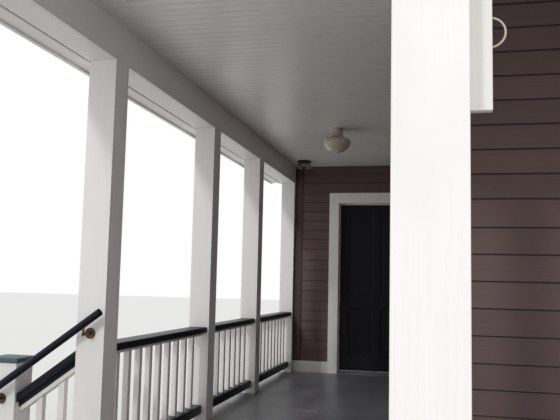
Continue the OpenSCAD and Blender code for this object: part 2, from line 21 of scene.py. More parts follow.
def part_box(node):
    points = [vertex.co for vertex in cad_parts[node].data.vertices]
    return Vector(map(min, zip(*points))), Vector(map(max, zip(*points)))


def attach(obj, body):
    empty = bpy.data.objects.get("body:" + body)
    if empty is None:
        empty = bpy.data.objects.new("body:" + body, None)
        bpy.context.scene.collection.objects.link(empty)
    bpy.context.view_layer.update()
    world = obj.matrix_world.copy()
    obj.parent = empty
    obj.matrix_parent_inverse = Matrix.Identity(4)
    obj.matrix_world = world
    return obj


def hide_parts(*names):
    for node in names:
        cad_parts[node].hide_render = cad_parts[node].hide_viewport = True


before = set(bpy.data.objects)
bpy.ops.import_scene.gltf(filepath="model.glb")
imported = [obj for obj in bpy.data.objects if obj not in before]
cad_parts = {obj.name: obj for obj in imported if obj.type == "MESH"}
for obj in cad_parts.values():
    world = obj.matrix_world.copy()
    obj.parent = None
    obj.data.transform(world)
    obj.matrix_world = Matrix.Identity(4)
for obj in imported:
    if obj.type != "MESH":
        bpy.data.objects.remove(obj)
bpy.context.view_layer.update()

LOG = logging.getLogger("porch")
MM = 0.001
# Distance within which two points are taken as one, and within which two faces are taken to lie in one plane.
HAIR = 0.01 * MM
NEAR = 0.1 * MM
SEED = 11
PORCH = "porch"
DOOR = "door"
# The wings meet on an upright plane through the house corner. This way points across it, to the front wing.
MITRE = Vector((1, -1, 0)).normalized()

Point = Sequence[float]
Span = tuple[float, float]
Box = tuple[Vector, Vector]
Verts = list[BMVert]
Profile = tuple[tuple[float, float], ...]


def linear(code: str) -> tuple[float, float, float, float]:
    """Turns an sRGB hex colour to linear light.

    Args:
        code: Colour such as "#f4f2ee".

    Returns:
        Linear red, green and blue, with an alpha of 1.
    """
    parts = [int(code[at:at + 2], 16) / 255 for at in (1, 3, 5)]
    red, green, blue = (c / 12.92 if c <= 0.04045 else ((c + 0.055) / 1.055) ** 2.4 for c in parts)
    return red, green, blue, 1.0


def metres(points: Iterable[Point]) -> list[Point]:
    """Points that are written in millimetres, in metres."""
    return [tuple(value * MM for value in point) for point in points]


def add_node(tree: NodeTree, kind: str, inputs: Optional[dict] = None, **settings: object) -> Node:
    """Adds a shader node with its settings and links.

    Args:
        tree: The node tree.
        kind: The node's type name, without the "ShaderNode" that they all start with.
        inputs: For each input, by name or number, a value to set, a socket to link, or a node whose first
            output that is in use is linked.
        **settings: Properties of the node.

    Returns:
        The new node.
    """
    node = tree.nodes.new(f"ShaderNode{kind}")
    for key, value in settings.items():
        setattr(node, key, value)
    for key, value in (inputs or {}).items():
        if isinstance(value, Node):
            value = next(socket for socket in value.outputs if socket.enabled)
        if isinstance(value, NodeSocket):
            tree.links.new(value, node.inputs[key])
        else:
            node.inputs[key].default_value = value
    return node


class Run(Enum):
    """The axis that a board runs along."""

    X = 0
    Y = 1
    Z = 2

    def point(self, across: float, up: float, along: float) -> Vector:
        """A point from its place across, up and along the run. On an upright run, up is along Y."""
        order = {Run.X: (along, across, up), Run.Y: (across, along, up), Run.Z: (across, up, along)}
        return Vector(order[self])

    def spans(self, node: str) -> tuple[Span, Span, Span]:
        """Where a construction node starts and ends across a level run, along it and in height."""
        low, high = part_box(node)
        return tuple((low[axis], high[axis]) for axis in (1 - self.value, self.value, 2))

    def stretch(self, along: float, across: float) -> tuple[float, float, float]:
        """Scale of a pattern that is drawn out along the run.

        Args:
            along: Size of the pattern along the run, in mm.
            across: Size of the pattern across the run, in mm.

        Returns:
            Scale of the object coordinates on each axis.
        """
        return tuple(1 / (MM * (along if axis == self.value else across)) for axis in range(3))


@dataclass(frozen=True)
class Finish:
    """A finish that is made into one material and then shared.

    Attributes:
        name: Name of the material.
        colour: sRGB of the clean surface.
    """

    name: str
    colour: str

    def material(self) -> Material:
        """Makes the material when it is first asked for.

        Returns:
            The material, with its Principled shader and the nodes of the finish.
        """
        known = bpy.data.materials.get(self.name)
        if known is not None:
            return known
        made = bpy.data.materials.new(self.name)
        made.use_nodes = True
        tree = made.node_tree
        tree.nodes.clear()
        shader = add_node(tree, "BsdfPrincipled", self.surface(tree))
        add_node(tree, "OutputMaterial", {"Surface": shader})
        return made

    def surface(self, tree: NodeTree) -> dict:
        """Adds the nodes of the finish and returns what goes into the inputs of its shader."""
        raise NotImplementedError


@dataclass(frozen=True)
class HousePaint(Finish):
    """Exterior paint that was brushed along planed boards.

    Attributes:
        soil_and_shade_tint: sRGB of the paint where it is dirty, and of the painted shade on the faces that
            are marked for it.
        ground: sRGB of what shows where the paint has worn off.
        run: The axis that the boards and the brush marks run along.
        roughness: Roughness of the clean film.
        tone: How far one board differs in brightness from the next.
        soiling: Strength of the weathered, dirty patches.
        edge: Strength of the dirt on eased edges and in joints, and of the painted shade on the faces under
            the siding's laps.
        wear: Share of the surface that is worn down to the ground.
        splash: Heights in metres between which dirt from below fades out.
        shine: Level of the mirror reflection, where 0.5 is usual.
    """

    soil_and_shade_tint: str
    ground: str = "#8c8478"
    run: Run = Run.Z
    roughness: float = 0.5
    tone: float = 0.03
    soiling: float = 0.25
    edge: float = 0.35
    wear: float = 0.0
    splash: Optional[Span] = None
    shine: float = 0.5

    def along(self, run: Run) -> "HousePaint":
        """The same paint on boards that run along another axis."""
        return replace(self, name=f"{self.name}_{run.name.lower()}", run=run)

    def surface(self, tree: NodeTree) -> dict:
        """Adds brush marks, weathered patches, soiled edges, worn places and the bump of grain and brush.

        Args:
            tree: The material's node tree.

        Returns:
            What goes into the inputs of the shader.
        """
        place = add_node(tree, "TexCoord").outputs["Object"]
        # Length and width in mm, and detail, of the brush marks, the wood grain and the weathered patches.
        # Brush marks are 1 mm apart on the real boards. They are drawn 7 mm apart so that they show.
        noises = []
        for length, width, detail in ((260, 7, 3), (700, 14, 4), (520, 230, 6)):
            drawn = add_node(tree, "Mapping", {"Vector": place, "Scale": self.run.stretch(length, width)})
            noises.append(add_node(tree, "TexNoise", {"Vector": drawn, "Scale": 1.0, "Detail": detail}))
        brush, grain, patch = noises
        board = add_node(tree, "Attribute", attribute_name="tone").outputs["Fac"]
        level = add_node(tree, "Math", {0: board, 1: self.tone, 2: 1.0}, operation="MULTIPLY_ADD")
        colour = add_node(tree, "Mix", {0: 1.0, 6: linear(self.colour), 7: level},
                          data_type="RGBA", blend_type="MULTIPLY")
        # Dirt lies on the upper third of the patches, thinner along the brush marks, and on eased edges.
        # Faces marked under the siding's laps take the same darker colour as painted shade.
        patchy = add_node(tree, "MapRange", {0: patch, 1: 0.46, 2: 0.78, 3: 0.0, 4: self.soiling})
        streaks = add_node(tree, "MapRange", {0: brush, 1: 0.4, 2: 0.75, 3: 0.0, 4: self.soiling * 0.5})
        marked = add_node(tree, "Attribute", attribute_name="edge").outputs["Fac"]
        eased = add_node(tree, "Math", {0: marked, 1: self.edge}, operation="MULTIPLY")
        soil_and_shade = add_node(tree, "Math", {0: patchy, 1: streaks}, operation="MAXIMUM")
        soil_and_shade = add_node(tree, "Math", {0: soil_and_shade, 1: eased}, operation="MAXIMUM")
        if self.splash:
            low, high = self.splash
            height = add_node(tree, "SeparateXYZ", {0: place}).outputs["Z"]
            fade = add_node(tree, "MapRange", {0: height, 1: low, 2: high, 3: 1.0, 4: 0.0})
            blot = add_node(tree, "MapRange", {0: patch, 1: 0.3, 2: 0.7, 3: 0.15, 4: 0.6})
            fade = add_node(tree, "Math", {0: fade, 1: blot}, operation="MULTIPLY")
            soil_and_shade = add_node(tree, "Math", {0: soil_and_shade, 1: fade}, operation="MAXIMUM")
        colour = add_node(tree, "Mix", {0: soil_and_shade, 6: colour, 7: linear(self.soil_and_shade_tint)}, data_type="RGBA")
        relief = add_node(tree, "Math", {0: grain, 1: brush}, operation="ADD")
        rough = add_node(tree, "Math", {0: soil_and_shade, 1: 0.3, 2: self.roughness}, operation="MULTIPLY_ADD")
        if self.wear:
            # Flakes of 18 mm where a patch is strong, and sooner on an eased edge.
            speck = add_node(tree, "TexNoise", {"Vector": place, "Scale": 1 / (18 * MM), "Detail": 3})
            worn = add_node(tree, "Math", {0: patch, 1: speck}, operation="ADD")
            worn = add_node(tree, "Math", {0: eased, 1: 0.3, 2: worn}, operation="MULTIPLY_ADD")
            limit = 1.34 - self.wear
            worn = add_node(tree, "MapRange", {0: worn, 1: limit, 2: limit + 0.05})
            colour = add_node(tree, "Mix", {0: worn, 6: colour, 7: linear(self.ground)}, data_type="RGBA")
            rough = add_node(tree, "Math", {0: worn, 1: 0.25, 2: rough}, operation="MULTIPLY_ADD")
            relief = add_node(tree, "Math", {0: relief, 1: worn}, operation="SUBTRACT")
        bump = add_node(tree, "Bump", {"Height": relief, "Strength": 0.4, "Distance": 0.5 * MM})
        return {"Base Color": colour, "Roughness": rough, "Normal": bump, "Specular IOR Level": self.shine}


@dataclass(frozen=True)
class CutWall(Finish):
    """A house wall where it is cut off: trowelled plaster inside, and siding paint on what faces out.

    Attributes:
        paint: sRGB of the siding paint.
        trowel: Size of the trowel marks.
        cloud: Size of the paler and darker patches.
    """

    paint: str
    trowel: float = 90 * MM
    cloud: float = 600 * MM

    def surface(self, tree: NodeTree) -> dict:
        """Chooses between plaster and paint by the way that a face looks, and adds the trowel marks.

        Args:
            tree: The material's node tree.

        Returns:
            What goes into the inputs of the shader.
        """
        coordinates = add_node(tree, "TexCoord")
        place = coordinates.outputs["Object"]
        facing = add_node(tree, "VectorMath", {0: coordinates.outputs["Normal"], 1: (1.0, 1.0, 0.0)},
                          operation="DOT_PRODUCT")
        inside = add_node(tree, "Math", {0: facing, 1: 0.5}, operation="GREATER_THAN")
        trowel = add_node(tree, "TexNoise", {"Vector": place, "Scale": 1 / self.trowel, "Detail": 5})
        cloud = add_node(tree, "TexNoise", {"Vector": place, "Scale": 1 / self.cloud, "Detail": 3})
        shade = add_node(tree, "MapRange", {0: cloud, 1: 0.3, 2: 0.7, 3: 0.9, 4: 1.04})
        colour = add_node(tree, "Mix", {0: inside, 6: linear(self.paint), 7: linear(self.colour)},
                          data_type="RGBA")
        colour = add_node(tree, "Mix", {0: 1.0, 6: colour, 7: shade}, data_type="RGBA", blend_type="MULTIPLY")
        bump = add_node(tree, "Bump", {"Height": trowel, "Strength": 0.35, "Distance": 1.5 * MM})
        return {"Base Color": colour, "Roughness": 0.85, "Normal": bump}


@dataclass(frozen=True)
class MineralShingle(Finish):
    """Asphalt shingle with pressed-in mineral granules.

    Attributes:
        pale: sRGB of the lighter granules.
        grit: Size of a granule, 1.5 mm on the real roof. It is drawn 5 mm wide so that it shows.
        patch: Size of the patches where the lighter ones gather.
    """

    pale: str
    grit: float = 5 * MM
    patch: float = 420 * MM

    def surface(self, tree: NodeTree) -> dict:
        """Adds granules of two colours and the tone of each tab.

        Args:
            tree: The material's node tree.

        Returns:
            What goes into the inputs of the shader.
        """
        place = add_node(tree, "TexCoord").outputs["Object"]
        grit = add_node(tree, "TexNoise", {"Vector": place, "Scale": 1 / self.grit, "Detail": 2})
        patch = add_node(tree, "TexNoise", {"Vector": place, "Scale": 1 / self.patch, "Detail": 4})
        tab = add_node(tree, "Attribute", attribute_name="tone").outputs["Fac"]
        level = add_node(tree, "Math", {0: tab, 1: 0.16, 2: 1.0}, operation="MULTIPLY_ADD")
        share = add_node(tree, "Math", {0: grit, 1: patch}, operation="ADD")
        share = add_node(tree, "MapRange", {0: share, 1: 0.85, 2: 1.25, 3: 0.0, 4: 0.8})
        colour = add_node(tree, "Mix", {0: share, 6: linear(self.colour), 7: linear(self.pale)},
                          data_type="RGBA")
        colour = add_node(tree, "Mix", {0: 1.0, 6: colour, 7: level}, data_type="RGBA", blend_type="MULTIPLY")
        bump = add_node(tree, "Bump", {"Height": grit, "Strength": 0.6, "Distance": 1.2 * MM})
        return {"Base Color": colour, "Roughness": 0.95, "Normal": bump}


@dataclass(frozen=True)
class Metal(Finish):
    """Metal, bare or under baked enamel.

    Attributes:
        dull: sRGB where it is tarnished or dusty.
        metallic: 1 for bare metal and 0 for enamel.
        roughness: Roughness where it is bright.
        spot: Size of the tarnished spots.
    """

    dull: str
    metallic: float = 1.0
    roughness: float = 0.3
    spot: float = 9 * MM

    def surface(self, tree: NodeTree) -> dict:
        """Mixes bright and tarnished metal in spots, which are a little rougher and raised.

        Args:
            tree: The material's node tree.

        Returns:
            What goes into the inputs of the shader.
        """
        place = add_node(tree, "TexCoord").outputs["Object"]
        spots = add_node(tree, "TexNoise", {"Vector": place, "Scale": 1 / self.spot, "Detail": 5})
        dull = add_node(tree, "MapRange", {0: spots, 1: 0.42, 2: 0.68})
        colour = add_node(tree, "Mix", {0: dull, 6: linear(self.colour), 7: linear(self.dull)},
                          data_type="RGBA")
        rough = add_node(tree, "Math", {0: dull, 1: 0.3, 2: self.roughness}, operation="MULTIPLY_ADD")
        bump = add_node(tree, "Bump", {"Height": spots, "Strength": 0.15, "Distance": 0.2 * MM})
        return {"Base Color": colour, "Roughness": rough, "Normal": bump, "Metallic": self.metallic}


@dataclass(frozen=True)
class PressedGlass(Finish):
    """Pressed glass, clear or clouded.

    Attributes:
        transmission: How much light passes through.
        roughness: Roughness of its surface.
        skin: Size of the dents that the mould leaves.
        dust: Size of the dusty patches.
    """

    transmission: float
    roughness: float
    skin: float = 14 * MM
    dust: float = 60 * MM

    def surface(self, tree: NodeTree) -> dict:
        """Adds the uneven skin that the mould leaves and a film of dust.

        Args:
            tree: The material's node tree.

        Returns:
            What goes into the inputs of the shader.
        """
        place = add_node(tree, "TexCoord").outputs["Object"]
        skin = add_node(tree, "TexNoise", {"Vector": place, "Scale": 1 / self.skin, "Detail": 3})
        dust = add_node(tree, "TexNoise", {"Vector": place, "Scale": 1 / self.dust, "Detail": 5})
        rough = add_node(tree, "MapRange", {0: dust, 1: 0.35, 2: 0.75, 3: self.roughness,
                                            4: self.roughness + 0.25})
        bump = add_node(tree, "Bump", {"Height": skin, "Strength": 0.2, "Distance": 0.6 * MM})
        return {"Base Color": linear(self.colour), "Roughness": rough, "Normal": bump,
                "Transmission Weight": self.transmission, "IOR": 1.5}


# White satin trim enamel: clean and slightly warm, greyer in the joints and where rain reaches it.
TRIM = HousePaint("satin_trim_paint", "#f1efec", "#b9b4ab", soiling=0.16, edge=0.45, roughness=0.42)
# The same enamel near the ground, with soil splashed up by rain.
FOOT_TRIM = HousePaint("splashed_trim_paint", "#efedea", "#98907f", soiling=0.2, edge=0.5, roughness=0.48,
                       splash=(0.0, 0.45))
# Brown-taupe siding paint: flat, with each board a little lighter or darker than its neighbour. Its strong
# edge mark is painted shade on the butt of each board and under each lap.
SIDING = HousePaint("siding_paint", "#5f4b4a", "#33292a", soiling=0.2, edge=0.8, roughness=0.62, tone=0.07)
# The same paint in its darker shade, on the plain upright boards.
SIDING_DARK = HousePaint("dark_siding_paint", "#4c3d3d", "#33292a", soiling=0.3, edge=0.2, roughness=0.62)
# Grey-blue floor enamel: worn to a paler coat in the walked lines, dusty in the grooves.
FLOOR = HousePaint("porch_floor_enamel", "#75767e", "#59595d", "#a3a3a3", soiling=0.3, edge=0.7,
                   roughness=0.34, tone=0.07, wear=0.14)
# Off-white ceiling paint: satin, so that the bright openings show in it, and slightly grey in the grooves.
CEILING = HousePaint("ceiling_paint", "#efebe7", "#b4ada5", soiling=0.1, edge=0.5, roughness=0.3, tone=0.02)
# Navy, nearly black rail enamel: satin, scuffed paler on the edges that hands rub.
RAIL = HousePaint("satin_rail_enamel", "#0f1220", "#242833", "#55575d", soiling=0.25, edge=0.35,
                  roughness=0.4, tone=0.05, wear=0.02, shine=0.2)
# Blue-grey paint of the newel caps: chalky where the weather gets at it.
CAP = HousePaint("chalky_cap_paint", "#465b62", "#353f42", "#8d9492", soiling=0.3, edge=0.2, roughness=0.5,
                 wear=0.05)
# Navy, nearly black door enamel: dulled by the weather over planed stiles and rails.
DOOR_PAINT = HousePaint("door_enamel", "#12141f", "#23262f", soiling=0.2, edge=0.3, roughness=0.55,
                        tone=0.03, shine=0.25)
# Plaster and paint of the walls where they are cut off.
WALL = CutWall("trowelled_wall", "#d9d2c6", "#64554f")
# Charcoal asphalt shingle: rough mineral grit with paler grains.
SHINGLE = MineralShingle("mineral_shingle", "#494a4e", "#8d8a87")
# Painted galvanised flashing: dull grey-brown sheet with a soft shine.
FLASHING = Metal("galvanised_flashing", "#73706d", "#6b6865", roughness=0.5, spot=120 * MM)
# Aged brass: warm metal that has gone brown in spots.
BRASS = Metal("aged_brass", "#b08d4a", "#5e4a2a", roughness=0.28)
# Bronze of the handrail brackets, gone brown.
BRONZE = Metal("brown_bronze", "#7a6349", "#453729", roughness=0.42, spot=14 * MM)
# Steel hinge leaves with a brown-black oxide skin.
HINGE = Metal("oxidised_hinge_steel", "#57524d", "#332e2a", roughness=0.4)
# Cream enamel on the canopy of the lamp: glossy, with a few dusty patches.
LAMP_ENAMEL = Metal("cream_lamp_enamel", "#cfc8b8", "#a79f8d", metallic=0.0, roughness=0.3, spot=30 * MM)
# Brown enamel of the spotlight's base: baked on and smooth.
SPOT_BASE = Metal("brown_spot_enamel", "#4a3a38", "#352b2a", metallic=0.0, roughness=0.35, spot=20 * MM)
# Grey enamel of the spotlight's heads: baked on, duller where dust lies.
SPOT_HEAD = Metal("grey_spot_enamel", "#a09894", "#7c7471", metallic=0.0, roughness=0.32, spot=20 * MM)
# Milky pressed glass of the ribbed globe: lets light through and blurs it.
GLOBE_GLASS = PressedGlass("milky_ribbed_glass", "#ece6d6", 0.45, 0.12)
# Clear pressed lens of a spotlight head.
LENS_GLASS = PressedGlass("clear_lens_glass", "#e8ecee", 0.8, 0.05)
# Sun-bleached plastic of the hanging ring.
RING = HousePaint("bleached_ring_plastic", "#c9c2b6", "#9d968a", roughness=0.45)


def patches(mesh: BMesh) -> list[Verts]:
    """Sorts the vertices of a mesh into the shells that they belong to.

    Args:
        mesh: Mesh of one or more shells that don't touch.

    Returns:
        The vertices of each shell, in the mesh's own order.
    """
    seen: set[BMVert] = set()
    found = []
    for start in mesh.verts:
        if start in seen:
            continue
        seen.add(start)
        shell = [start]
        for vert in shell:
            for edge in vert.link_edges:
                other = edge.other_vert(vert)
                if other not in seen:
                    seen.add(other)
                    shell.append(other)
        found.append(shell)
    return found


def edges_of(verts: Iterable[BMVert]) -> set[BMEdge]:
    """The edges that start or end at some vertices."""
    return {edge for vert in verts for edge in vert.link_edges}


def box_of(verts: Iterable[BMVert]) -> Box:
    """Lowest and highest corner of some vertices."""
    points = [vert.co for vert in verts]
    return (Vector([min(p[axis] for p in points) for axis in range(3)]),
            Vector([max(p[axis] for p in points) for axis in range(3)]))


def merged(node: str) -> BMesh:
    """A copy of a construction node whose triangles are merged into whole faces.

    Args:
        node: Name of the node.

    Returns:
        The merged mesh, which the caller frees.
    """
    mesh = bmesh.new()
    mesh.from_mesh(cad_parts[node].data)
    bmesh.ops.remove_doubles(mesh, verts=mesh.verts[:], dist=2 * HAIR)
    bmesh.ops.dissolve_limit(mesh, angle_limit=math.radians(0.5), verts=mesh.verts[:], edges=mesh.edges[:])
    return mesh


def solids(node: str) -> list[Box]:
    """Finds the separate solids of a construction node.

    Args:
        node: Name of the node.

    Returns:
        The box of each solid, in order along X, Y and Z.
    """
    mesh = merged(node)
    boxes = sorted((box_of(shell) for shell in patches(mesh)), key=lambda b: tuple(round(v, 4) for v in b[0]))
    mesh.free()
    return boxes


class Stock:
    """Boards, bars and turnings that are cut and gathered into one piece.

    Each board gets its own tone, and the faces of eased edges are marked, for the paint to read.
    """

    def __init__(self, name: str, node: Optional[str] = None,
                 keep: Optional[Callable[[Box], bool]] = None) -> None:
        """Starts a piece.

        Args:
            name: Name of the finished object.
            node: A construction node whose solids the piece starts from.
            keep: Says by its box which of those solids stay.
        """
        self.name = name
        self.random = random.Random(f"{SEED}{name}")
        self.mesh = merged(node) if node else bmesh.new()
        self.tone = self.mesh.faces.layers.float.new("tone")
        self.edge = self.mesh.faces.layers.float.new("edge")
        self.sharp: dict[tuple[float, int], list[BMEdge]] = {}
        if node:
            for shell in patches(self.mesh):
                if keep and not keep(box_of(shell)):
                    bmesh.ops.delete(self.mesh, geom=shell, context="VERTS")
                else:
                    self.mark(shell)

    def mark(self, verts: Iterable[BMVert]) -> None:
        """Gives the faces at some vertices one tone of their own.

        Args:
            verts: The vertices of one board, bar or turning.
        """
        value = self.random.uniform(-1, 1)
        for face in {face for vert in verts for face in vert.link_faces}:
            face[self.tone] = value

    def soil_and_shade_tint(self, faces: Iterable[BMFace]) -> None:
        """Marks faces that the paint darkens: dirt on eased edges, painted shade under the siding's laps, and
        the sides of the ceiling's grooves.
        """
        for face in faces:
            face[self.edge] = 1.0

    def ease(self, edges: Iterable[BMEdge], size: float, steps: int = 1) -> None:
        """Notes edges that are rounded or chamfered once the piece is whole."""
        self.sharp.setdefault((size, steps), []).extend(edges)

    def ease_corners(self, size: float, steps: int = 1, least: float = 30.0) -> None:
        """Eases every edge that is sharper than an angle.

        Args:
            size: Width of the eased edge.
            steps: Faces across it.
            least: The angle, in degrees.
        """
        limit = math.radians(least)
        self.ease([e for e in self.mesh.edges if e.is_manifold and e.calc_face_angle(0) > limit], size, steps)

    def board(self, low: Point, high: Point, ease: float = 1.2 * MM, steps: int = 1) -> Verts:
        """Adds a board between two corners.

        Args:
            low: Lowest corner.
            high: Highest corner.
            ease: Width of its eased edges, or 0.
            steps: Faces across an eased edge.

        Returns:
            The vertices of the board.
        """
        low, high = Vector(low), Vector(high)
        place = Matrix.Translation((low + high) / 2) @ Matrix.Diagonal((*(high - low), 1.0))
        verts = bmesh.ops.create_cube(self.mesh, size=1.0, matrix=place)["verts"]
        self.mark(verts)
        if ease:
            self.ease(edges_of(verts), ease, steps)
        return verts

    def prism(self, outline: Sequence[Point], run: Run, start: float, end: float) -> Verts:
        """Adds a moulding: an outline that is carried along a run.

        Args:
            outline: Points of the section, as across and up.
            run: The axis that it runs along.
            start: Where it starts on that axis.
            end: Where it ends.

        Returns:
            The vertices of the moulding.
        """
        verts = [self.mesh.verts.new(run.point(across, up, start)) for across, up in outline]
        grown = bmesh.ops.extrude_face_region(self.mesh, geom=[self.mesh.faces.new(verts)])["geom"]
        moved = [item for item in grown if isinstance(item, BMVert)]
        bmesh.ops.translate(self.mesh, verts=moved, vec=run.point(0, 0, end - start))
        self.mark(verts + moved)
        return verts + moved

    def rod(self, start: Point, end: Point, radius: float, steps: int = 24,
            tip: Optional[float] = None) -> Verts:
        """Adds a round bar or a cone between two points.

        Args:
            start: Middle of one end.
            end: Middle of the other end.
            radius: Radius at the start.
            steps: Faces round it.
            tip: Radius at the end, where it differs.

        Returns:
            The vertices of the bar.
        """
        start, end = Vector(start), Vector(end)
        turn = (end - start).to_track_quat("Z", "Y").to_matrix().to_4x4()
        place = Matrix.Translation((start + end) / 2) @ turn
        verts = bmesh.ops.create_cone(self.mesh, cap_ends=True, segments=steps, radius1=radius,
                                      radius2=radius if tip is None else tip, depth=(end - start).length,
                                      matrix=place)["verts"]
        self.mark(verts)
        return verts

    def turning(self, profile: Sequence[Point], place: Matrix, steps: int = 48) -> Verts:
        """Adds a turned piece: a profile that is spun round its own axis.

        Args:
            profile: Points as radius and height along the axis.
            place: Where the turned piece goes.
            steps: Faces round it.

        Returns:
            The vertices of the turned piece.
        """
        verts = [self.mesh.verts.new((radius, 0.0, height)) for radius, height in profile]
        edges = [self.mesh.edges.new(pair) for pair in zip(verts, verts[1:])]
        known = set(self.mesh.verts) - set(verts)
        bmesh.ops.spin(self.mesh, geom=verts + edges, cent=(0, 0, 0), axis=(0, 0, 1), dvec=(0, 0, 0),
                       angle=2 * math.pi, steps=steps, use_merge=True)
        turned = [vert for vert in self.mesh.verts if vert not in known]
        bmesh.ops.remove_doubles(self.mesh, verts=turned, dist=HAIR)
        turned = [vert for vert in self.mesh.verts if vert not in known]
        bmesh.ops.transform(self.mesh, matrix=place, verts=turned)
        self.mark(turned)
        return turned

    def nails(self, points: Iterable[Point], out: Point, radius: float = 3 * MM, proud: float = 0.35 * MM,
              worn: float = 0.7) -> None:
        """Adds the painted heads of finishing nails, which stand a hair proud of a board.

        Args:
            points: Where the nails meet the board's face.
            out: The way that the face looks.
            radius: Radius of a head where it leaves the wood.
            proud: Height of a head above the face.
            worn: Radius at its top, as a share of the first one.
        """
        out = Vector(out)
        for point in points:
            self.rod(Vector(point) - out * MM, Vector(point) + out * proud, radius, 8, radius * worn)

    def cut(self, point: Point, outward: Point) -> None:
        """Cuts everything off on the far side of a plane and closes what is cut.

        Args:
            point: A point of the plane.
            outward: The way towards what is cut off.
        """
        geom = self.mesh.verts[:] + self.mesh.edges[:] + self.mesh.faces[:]
        made = bmesh.ops.bisect_plane(self.mesh, geom=geom, dist=HAIR, plane_co=point, plane_no=outward,
                                      clear_outer=True)["geom_cut"]
        edges = [item for item in made if isinstance(item, BMEdge) and item.is_boundary]
        if edges:
            for face in bmesh.ops.edgeloop_fill(self.mesh, edges=edges)["faces"]:
                face[self.tone] = face.edges[0].link_faces[0][self.tone]

    def done(self, finish: Finish, slot: str, *nodes: str, body: str = PORCH, smooth: float = 0.0) -> None:
        """Eases the noted edges and hands the piece over.

        Args:
            finish: Its finish.
            slot: The record's material slot that the finish belongs to. It is not used.
            *nodes: Construction nodes that it stands for.
            body: The body that it rides on.
            smooth: Angle in degrees under which faces blend into each other.
        """
        for (size, steps), edges in self.sharp.items():
            live = [edge for edge in edges if edge.is_valid]
            made = bmesh.ops.bevel(self.mesh, geom=live, offset=size, offset_type="OFFSET", segments=steps,
                                   profile=0.5, affect="EDGES", material=-1, clamp_overlap=True)
            self.soil_and_shade_tint(made["faces"])
        bmesh.ops.dissolve_degenerate(self.mesh, dist=HAIR, edges=self.mesh.edges[:])
        bmesh.ops.recalc_face_normals(self.mesh, faces=self.mesh.faces[:])
        data = bpy.data.meshes.new(self.name)
        self.mesh.to_mesh(data)
        self.mesh.free()
        normals = data.attributes.get("custom_normal")
        if normals is not None:
            data.attributes.remove(normals)
        for polygon in data.polygons:
            polygon.use_smooth = smooth > 0
        if smooth:
            data.set_sharp_from_angle(angle=math.radians(smooth))
        data.materials.clear()
        data.materials.append(finish.material())
        piece = bpy.data.objects.new(self.name, data)
        bpy.context.scene.collection.objects.link(piece)
        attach(piece, body)
        if nodes:
            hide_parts(*nodes)
        LOG.info("%s: %d faces", self.name, len(data.polygons))


def paint_node(node: str, ease: float, finish: Finish, slot: str) -> None:
    """Makes a painted piece of a construction node's own shape, with eased edges.

    Args:
        node: The construction node, which the piece stands for.
        ease: Width of the eased edges.
        finish: Its finish.
        slot: The record's material slot that the finish belongs to.
    """
    stock = Stock(f"painted_{node}", node)
    stock.ease_corners(ease)
    stock.done(finish, slot, node)


def dress_node(node: str, finish: Finish) -> None:
    """Gives a construction node, which stays as it is, its finish.

    Args:
        node: Name of the node.
        finish: Its finish.
    """
    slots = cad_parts[node].data.materials
    slots.clear()
    slots.append(finish.material())
    LOG.info("%s keeps its shape", node)


@dataclass(frozen=True)
class Wing:
    """One wing of the porch.

    Attributes:
        title: Its word in the names of its floor and ceiling boards.
        side: Its word in the names of nodes and of all other pieces.
        run: The axis that the wing runs along.
        across: The axis that its floor and ceiling boards run along.
        far: The way across the corner plane, towards the other wing.
    """

    title: str
    side: str
    run: Run
    across: Run
    far: Vector


WINGS = (Wing("left", "side", Run.Y, Run.X, MITRE), Wing("front", "front", Run.X, Run.Y, -MITRE))


@dataclass(frozen=True)
class Plan:
    """Planes and lines of the porch, read from the construction model.

    Heights are above the ground. The inner and outer faces of posts, beams and roof are given by their
    distance from the walls, which is negative, the door wall by its Y, and the right end and its verge by X.
    """

    deck: float
    ceiling: float
    beam_foot: float
    beam_top: float
    post_in: float
    post_out: float
    beam_out: float
    roof_out: float
    roof_foot: float
    roof_top: float
    door_wall: float
    end_in: float
    end_out: float
    verge: float
    wall_top: float
    base_top: float

    @classmethod
    def read(cls) -> "Plan":
        """Reads the planes from the boxes of the nodes that carry them."""
        beam, roof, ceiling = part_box("side_beam"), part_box("side_roof"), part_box("side_ceiling")
        return cls(deck=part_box("side_deck")[1].z, ceiling=ceiling[0].z, beam_foot=beam[0].z,
                   beam_top=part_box("end_beam")[1].z, post_in=ceiling[0].x,
                   post_out=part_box("front_posts")[0].x, beam_out=beam[0].x, roof_out=roof[0].x,
                   roof_foot=roof[0].z, roof_top=roof[1].z, door_wall=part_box("door_casing")[1].y,
                   end_in=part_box("front_ceiling")[1].x, end_out=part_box("front_beam")[1].x,
                   verge=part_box("front_roof")[1].x, wall_top=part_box("front_wall")[1].z,
                   base_top=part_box("base_boards")[1].z)

    @property
    def slope(self) -> float:
        """Rise of the roof for each metre towards the house."""
        return (self.beam_top - self.roof_foot) / (self.beam_out - self.roof_out)

    def under_roof(self, out: float) -> float:
        """Height of the roof's underside at a distance from the wall, which is negative."""
        return self.roof_foot + (out - self.roof_out) * self.slope

    def over_roof(self, out: float) -> float:
        """Height of the roof's upper side at a distance from the wall, which is negative."""
        return self.roof_top + out * self.slope


